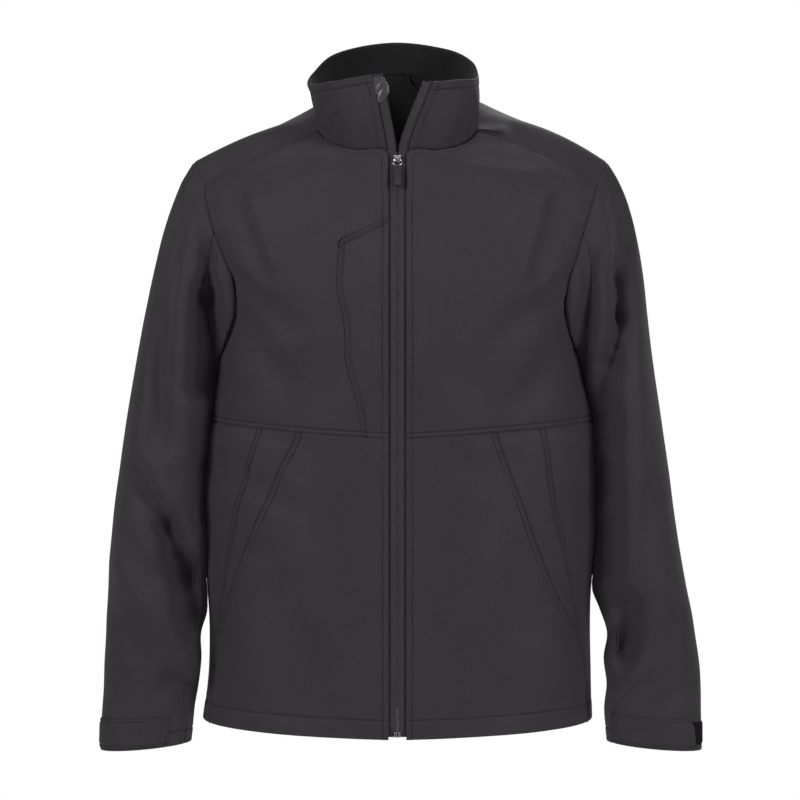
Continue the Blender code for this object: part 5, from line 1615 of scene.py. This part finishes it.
def wire_ring(mesh, radius, wire, steps, sides):
    """Round wire bent to a ring in the plane across X."""
    rings = []
    for i in range(steps):
        angle = 2 * math.pi * i / steps
        direction = Vector((0.0, math.cos(angle), math.sin(angle)))
        rings.append([])
        for j in range(sides):
            around = 2 * math.pi * j / sides
            point = direction * (radius + wire * math.cos(around)) + Vector((wire * math.sin(around), 0, 0))
            rings[-1].append(mesh.verts.new(point))
    for i in range(steps):
        first, second = rings[i], rings[(i + 1) % steps]
        for j in range(sides):
            k = (j + 1) % sides
            mesh.faces.new((first[j], first[k], second[k], second[j]))


class JACKET_OT_zip(bpy.types.Operator):
    """Make the zip: tapes, coil teeth, guard, slider, ring, moulded pull and end box"""
    bl_idname = "jacket.zip"
    bl_label = "Zip"

    def guard(self, edge, out):
        """Satin flap folded over the top of the right tape, from the front's edge to its free edge."""
        outline = np.array(GUARD_OUTLINE)
        heights = np.linspace(outline[0, 0], outline[-1, 0], 36)
        near = read_axes(heights, edge[:, 2], edge)
        facing = unit(read_axes(heights, edge[:, 2], out))
        free = near.copy()
        free[:, 0] = np.interp(heights, outline[:, 0], outline[:, 1])
        shares = np.linspace(0, 1, 24)[:, None, None]
        grid = (near + (free - near) * shares).transpose(1, 0, 2)
        facing = np.repeat(facing[:, None], 24, axis=1)
        (x1, z1), (x2, z2) = GUARD_FOLD
        run = np.array((x2 - x1, z2 - z1))
        across = ((grid[..., 0] - x1) * run[1] - (grid[..., 2] - z1) * run[0]) / np.linalg.norm(run)
        fold = sum(height * np.exp(-((across + away) / width) ** 2) for height, width, away in GUARD_WAVES)
        swell = GUARD_SWELL * np.sin(math.pi * np.linspace(0, 1, 24))[None, :]
        sheet = surface(grid + facing * (GUARD_LIFT + fold + swell)[..., None], facing)
        cut_piece("zip_guard", sheet, cells_of(sheet, 0, 35, 0, 23), [(0, "column", 23, 0, 35)],
                  thickness=GUARD_THICK, finish="zip guard, satin tricot", slot="guard", inset=0.0, soft=0.3)

    def slider(self, sizes):
        """Slider of two plates on a post, with the bridge that holds the ring."""
        wide, deep, tall = sizes.slider
        half, back, place = wide / 2, SLIDER_BACK, slider_place()

        def body(mesh):
            right = [(half * 0.55, -tall / 2), (half * 0.78, -tall * 0.1), (half, tall * 0.25),
                     (half, tall / 2 - 0.0008), (half * 0.8, tall / 2), (half * 0.25, tall / 2 - 0.0006)]
            outline = right + [(-x, z) for x, z in reversed(right)]
            plate(mesh, outline, back, back + deep * 0.36)
            plate(mesh, [(x * 0.96, z * 0.97) for x, z in outline], back + deep * 0.64, back + deep)
            bar(mesh, 0.0011, 0.0, tall / 2 - 0.001, back + deep * 0.3, back + deep * 0.7)
            for way in (-1, 1):
                plate(mesh, [(way * half * 0.72, -tall * 0.45), (way * half * 0.60, -tall * 0.45),
                             (way * half * 0.82, tall * 0.1), (way * half * 0.95, tall * 0.1)],
                      back + deep * 0.3, back + deep * 0.46)

        slider = solid("slider_body", body, 0.00045, "zip slider, plated zinc",
                       place=place @ Matrix.Translation((0.0, 0.0, 0.0010)))
        attach(slider, "zip_slider")
        eye = solid("slider_bridge", lambda mesh: wire_ring(mesh, *EYE, 28, 12), 0.0,
                    "zip slider, plated zinc", place=place @ Matrix.Diagonal((2.3, 1.0, 1.0, 1.0)))
        attach(eye, None)

    def pull(self, sizes):
        """Ring with the moulded pull that hangs from it."""
        place, (radius, wire) = slider_place(), RING
        across = Matrix.Translation((0.0, 0.0, -radius)) @ Matrix.Rotation(math.radians(90), 4, "Z")
        ring = solid("pull_ring", lambda mesh: wire_ring(mesh, radius, wire, 48, 14), 0.0,
                     "zip slider, plated zinc", place=place @ across)
        attach(ring, "zip_ring", "pull")
        width, thick, long = sizes.pull
        top = -2 * radius - wire - SEAM_GAP

        def tab(mesh):
            outline = []
            for i in range(40):
                angle = 2 * math.pi * i / 40
                x, z = math.cos(angle), math.sin(angle)
                power = 0.5 if z < 0 else 0.42
                taper = 0.90 + 0.10 * (0.5 - z / 2)
                outline.append((width / 2 * math.copysign(abs(x) ** power, x) * taper,
                                top - long / 2 + long / 2 * math.copysign(abs(z) ** power, z)))
            plate(mesh, outline, -thick / 2, thick / 2)
            for face in [face for face in mesh.faces if len(face.verts) == 40]:
                bmesh.ops.inset_individual(mesh, faces=[face], thickness=0.0014, depth=0.0)
                bmesh.ops.inset_individual(mesh, faces=[face], thickness=0.0005, depth=-0.0007)

        for name, build, bevel, segments, stands_for in (
                ("pull_tab", tab, 0.0005, 2, "zip_pull"),
                ("pull_neck", lambda mesh: bar(mesh, 0.0017, top - 0.0018, top + 0.0024, -0.0013, 0.0013),
                 0.0006, 3, None)):
            piece = solid(name, build, bevel, "zip pull, moulded PVC", segments, place)
            attach(piece, stands_for, "pull")

    def execute(self, context):
        cloth, sizes = context.scene.jacket_cloth, context.scene.jacket_zip
        for side, sign in SIDES.items():
            sheet = tape_surface(side)
            end, last = (size - 1 for size in sheet["grid"].shape[:2])
            cut_piece("zip_tape_" + side, sheet, cells_of(sheet, 0, end, 0, last),
                      [(0, "column", 0, 0, end), (0, "column", 8, 0, end)], thickness=cloth.tape,
                      finish="zip tape, woven polyester", slot="tape", inset=0.0, soft=0.75)
            line = sheet["grid"][:, 0] - sheet["out"][:, 0] * COIL_SINK
            line[:, 0] -= sign * COIL_INWARD
            if side == "left":
                line[0] += (line[1] - line[0]) * 0.5
            coil = along_lines("zip_coil_" + side, [(line, sheet["out"][:, 0])],
                               {"Spacing": sizes.pitch, "Length": sizes.tooth[1], "Width": sizes.tooth[0],
                                "Height": sizes.tooth[2]}, "zip coil, polyester", bead)
            attach(coil, None)
            if side == "right":
                self.guard(sheet["grid"][:, 8], sheet["out"][:, 8])
        self.slider(sizes)
        self.pull(sizes)
        low, high = (Vector(corner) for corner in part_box("zip_box"))

        def box(mesh):
            top, notch = low.z + 0.0062, low.z + 0.0020
            plate(mesh, [(low.x, low.z), (high.x, low.z), (high.x * 0.9, top), (0.0010, top), (0.0006, notch),
                         (-0.0006, notch), (-0.0010, top), (low.x * 0.9, top)], low.y + 0.0004, high.y)

        attach(solid("end_box", box, 0.0005, "zip slider, plated zinc"), "zip_box")
        return {"FINISHED"}


class JACKET_OT_stitches(bpy.types.Operator):
    """Lay the topstitching along every line that the pieces have marked"""
    bl_idname = "jacket.stitches"
    bl_label = "Topstitching"

    def execute(self, context):
        sewing = context.scene.jacket_sewing
        if not STITCH_LINES:
            raise RuntimeError("no stitch lines: make the cloth pieces first")
        inputs = {"Spacing": sewing.stitch, "Length": sewing.stitch * 0.78, "Width": sewing.thread,
                  "Height": sewing.thread * 0.7}
        piece = along_lines("topstitching", STITCH_LINES, inputs, "sewing thread, polyester", bead)
        attach(piece, None)
        return {"FINISHED"}


class JACKET_OT_stage(bpy.types.Operator):
    """Make the pale studio floor, the soft lights and the camera"""
    bl_idname = "jacket.stage"
    bl_label = "Stage"

    def aimed(self, name, data, place, aim):
        """A lamp or camera at a place that looks at a point."""
        made = bpy.data.objects.new(name, data)
        made.location = place
        made.rotation_euler = (Vector(aim) - Vector(place)).to_track_quat("-Z", "Y").to_euler()
        bpy.context.scene.collection.objects.link(made)
        return made

    def execute(self, context):
        scene = context.scene
        stage = scene.jacket_stage
        data = bpy.data.meshes.new("studio_floor")
        angles = [2 * math.pi * i / 64 for i in range(64)]
        data.from_pydata([(FLOOR_RADIUS * math.cos(a), FLOOR_RADIUS * math.sin(a), stage.floor)
                          for a in angles], [], [tuple(range(64))])
        finished("studio_floor", data, "studio floor, painted board")
        world = bpy.data.worlds.new("studio")
        scene.world = world
        world.use_nodes = True
        tree = world.node_tree
        seen = node(tree, "ShaderNodeLightPath").outputs["Is Camera Ray"]
        tree.nodes["Background"].inputs["Color"].default_value = (1, 1, 1, 1)
        strength = node(tree, "ShaderNodeMapRange", Value=seen, To_Min=stage.ambient, To_Max=1.0)
        tree.links.new(strength.outputs[0], tree.nodes["Background"].inputs["Strength"])
        for name, place, share, spread in LIGHTS:
            light = bpy.data.lights.new(name, "AREA")
            light.energy, light.size = stage.key * share, spread
            self.aimed(name, light, place, LAMP_AIM)
        camera = bpy.data.cameras.new("camera")
        camera.lens, camera.sensor_width = stage.lens, 36.0
        scene.camera = self.aimed("camera", camera, stage.eye, stage.aim)
        scene.view_settings.view_transform = "Standard"
        return {"FINISHED"}


STEPS = (JACKET_OT_fronts, JACKET_OT_back, JACKET_OT_sleeves, JACKET_OT_cuffs, JACKET_OT_collar,
         JACKET_OT_zip, JACKET_OT_stitches, JACKET_OT_stage)


class JACKET_PT_panel(bpy.types.Panel):
    """Steps and sizes of the jacket"""
    bl_idname = "JACKET_PT_panel"
    bl_label = "Softshell Jacket"
    bl_space_type = "VIEW_3D"
    bl_region_type = "UI"
    bl_category = "Jacket"

    def draw(self, context):
        for step in STEPS:
            self.layout.operator(step.bl_idname)
        for group in GROUPS:
            sizes = getattr(context.scene, group)
            box = self.layout.box()
            for name in sizes.__annotations__:
                box.prop(sizes, name)


GROUPS = {"jacket_cloth": JacketCloth, "jacket_sewing": JacketSewing, "jacket_zip": JacketZip,
          "jacket_colours": JacketColours, "jacket_stage": JacketStage}


def register():
    """Add the classes and the sizes to Blender."""
    for item in (*GROUPS.values(), *STEPS, JACKET_PT_panel):
        bpy.utils.register_class(item)
    for name, group in GROUPS.items():
        setattr(bpy.types.Scene, name, bpy.props.PointerProperty(type=group))


def unregister():
    """Take them out again."""
    for name in GROUPS:
        delattr(bpy.types.Scene, name)
    for item in (JACKET_PT_panel, *reversed(STEPS), *reversed(GROUPS.values())):
        bpy.utils.unregister_class(item)


def main():
    """Make every piece in order."""
    register()
    for step in STEPS:
        group, name = step.bl_idname.split(".")
        getattr(getattr(bpy.ops, group), name)()


if __name__ == "__main__":
    main()
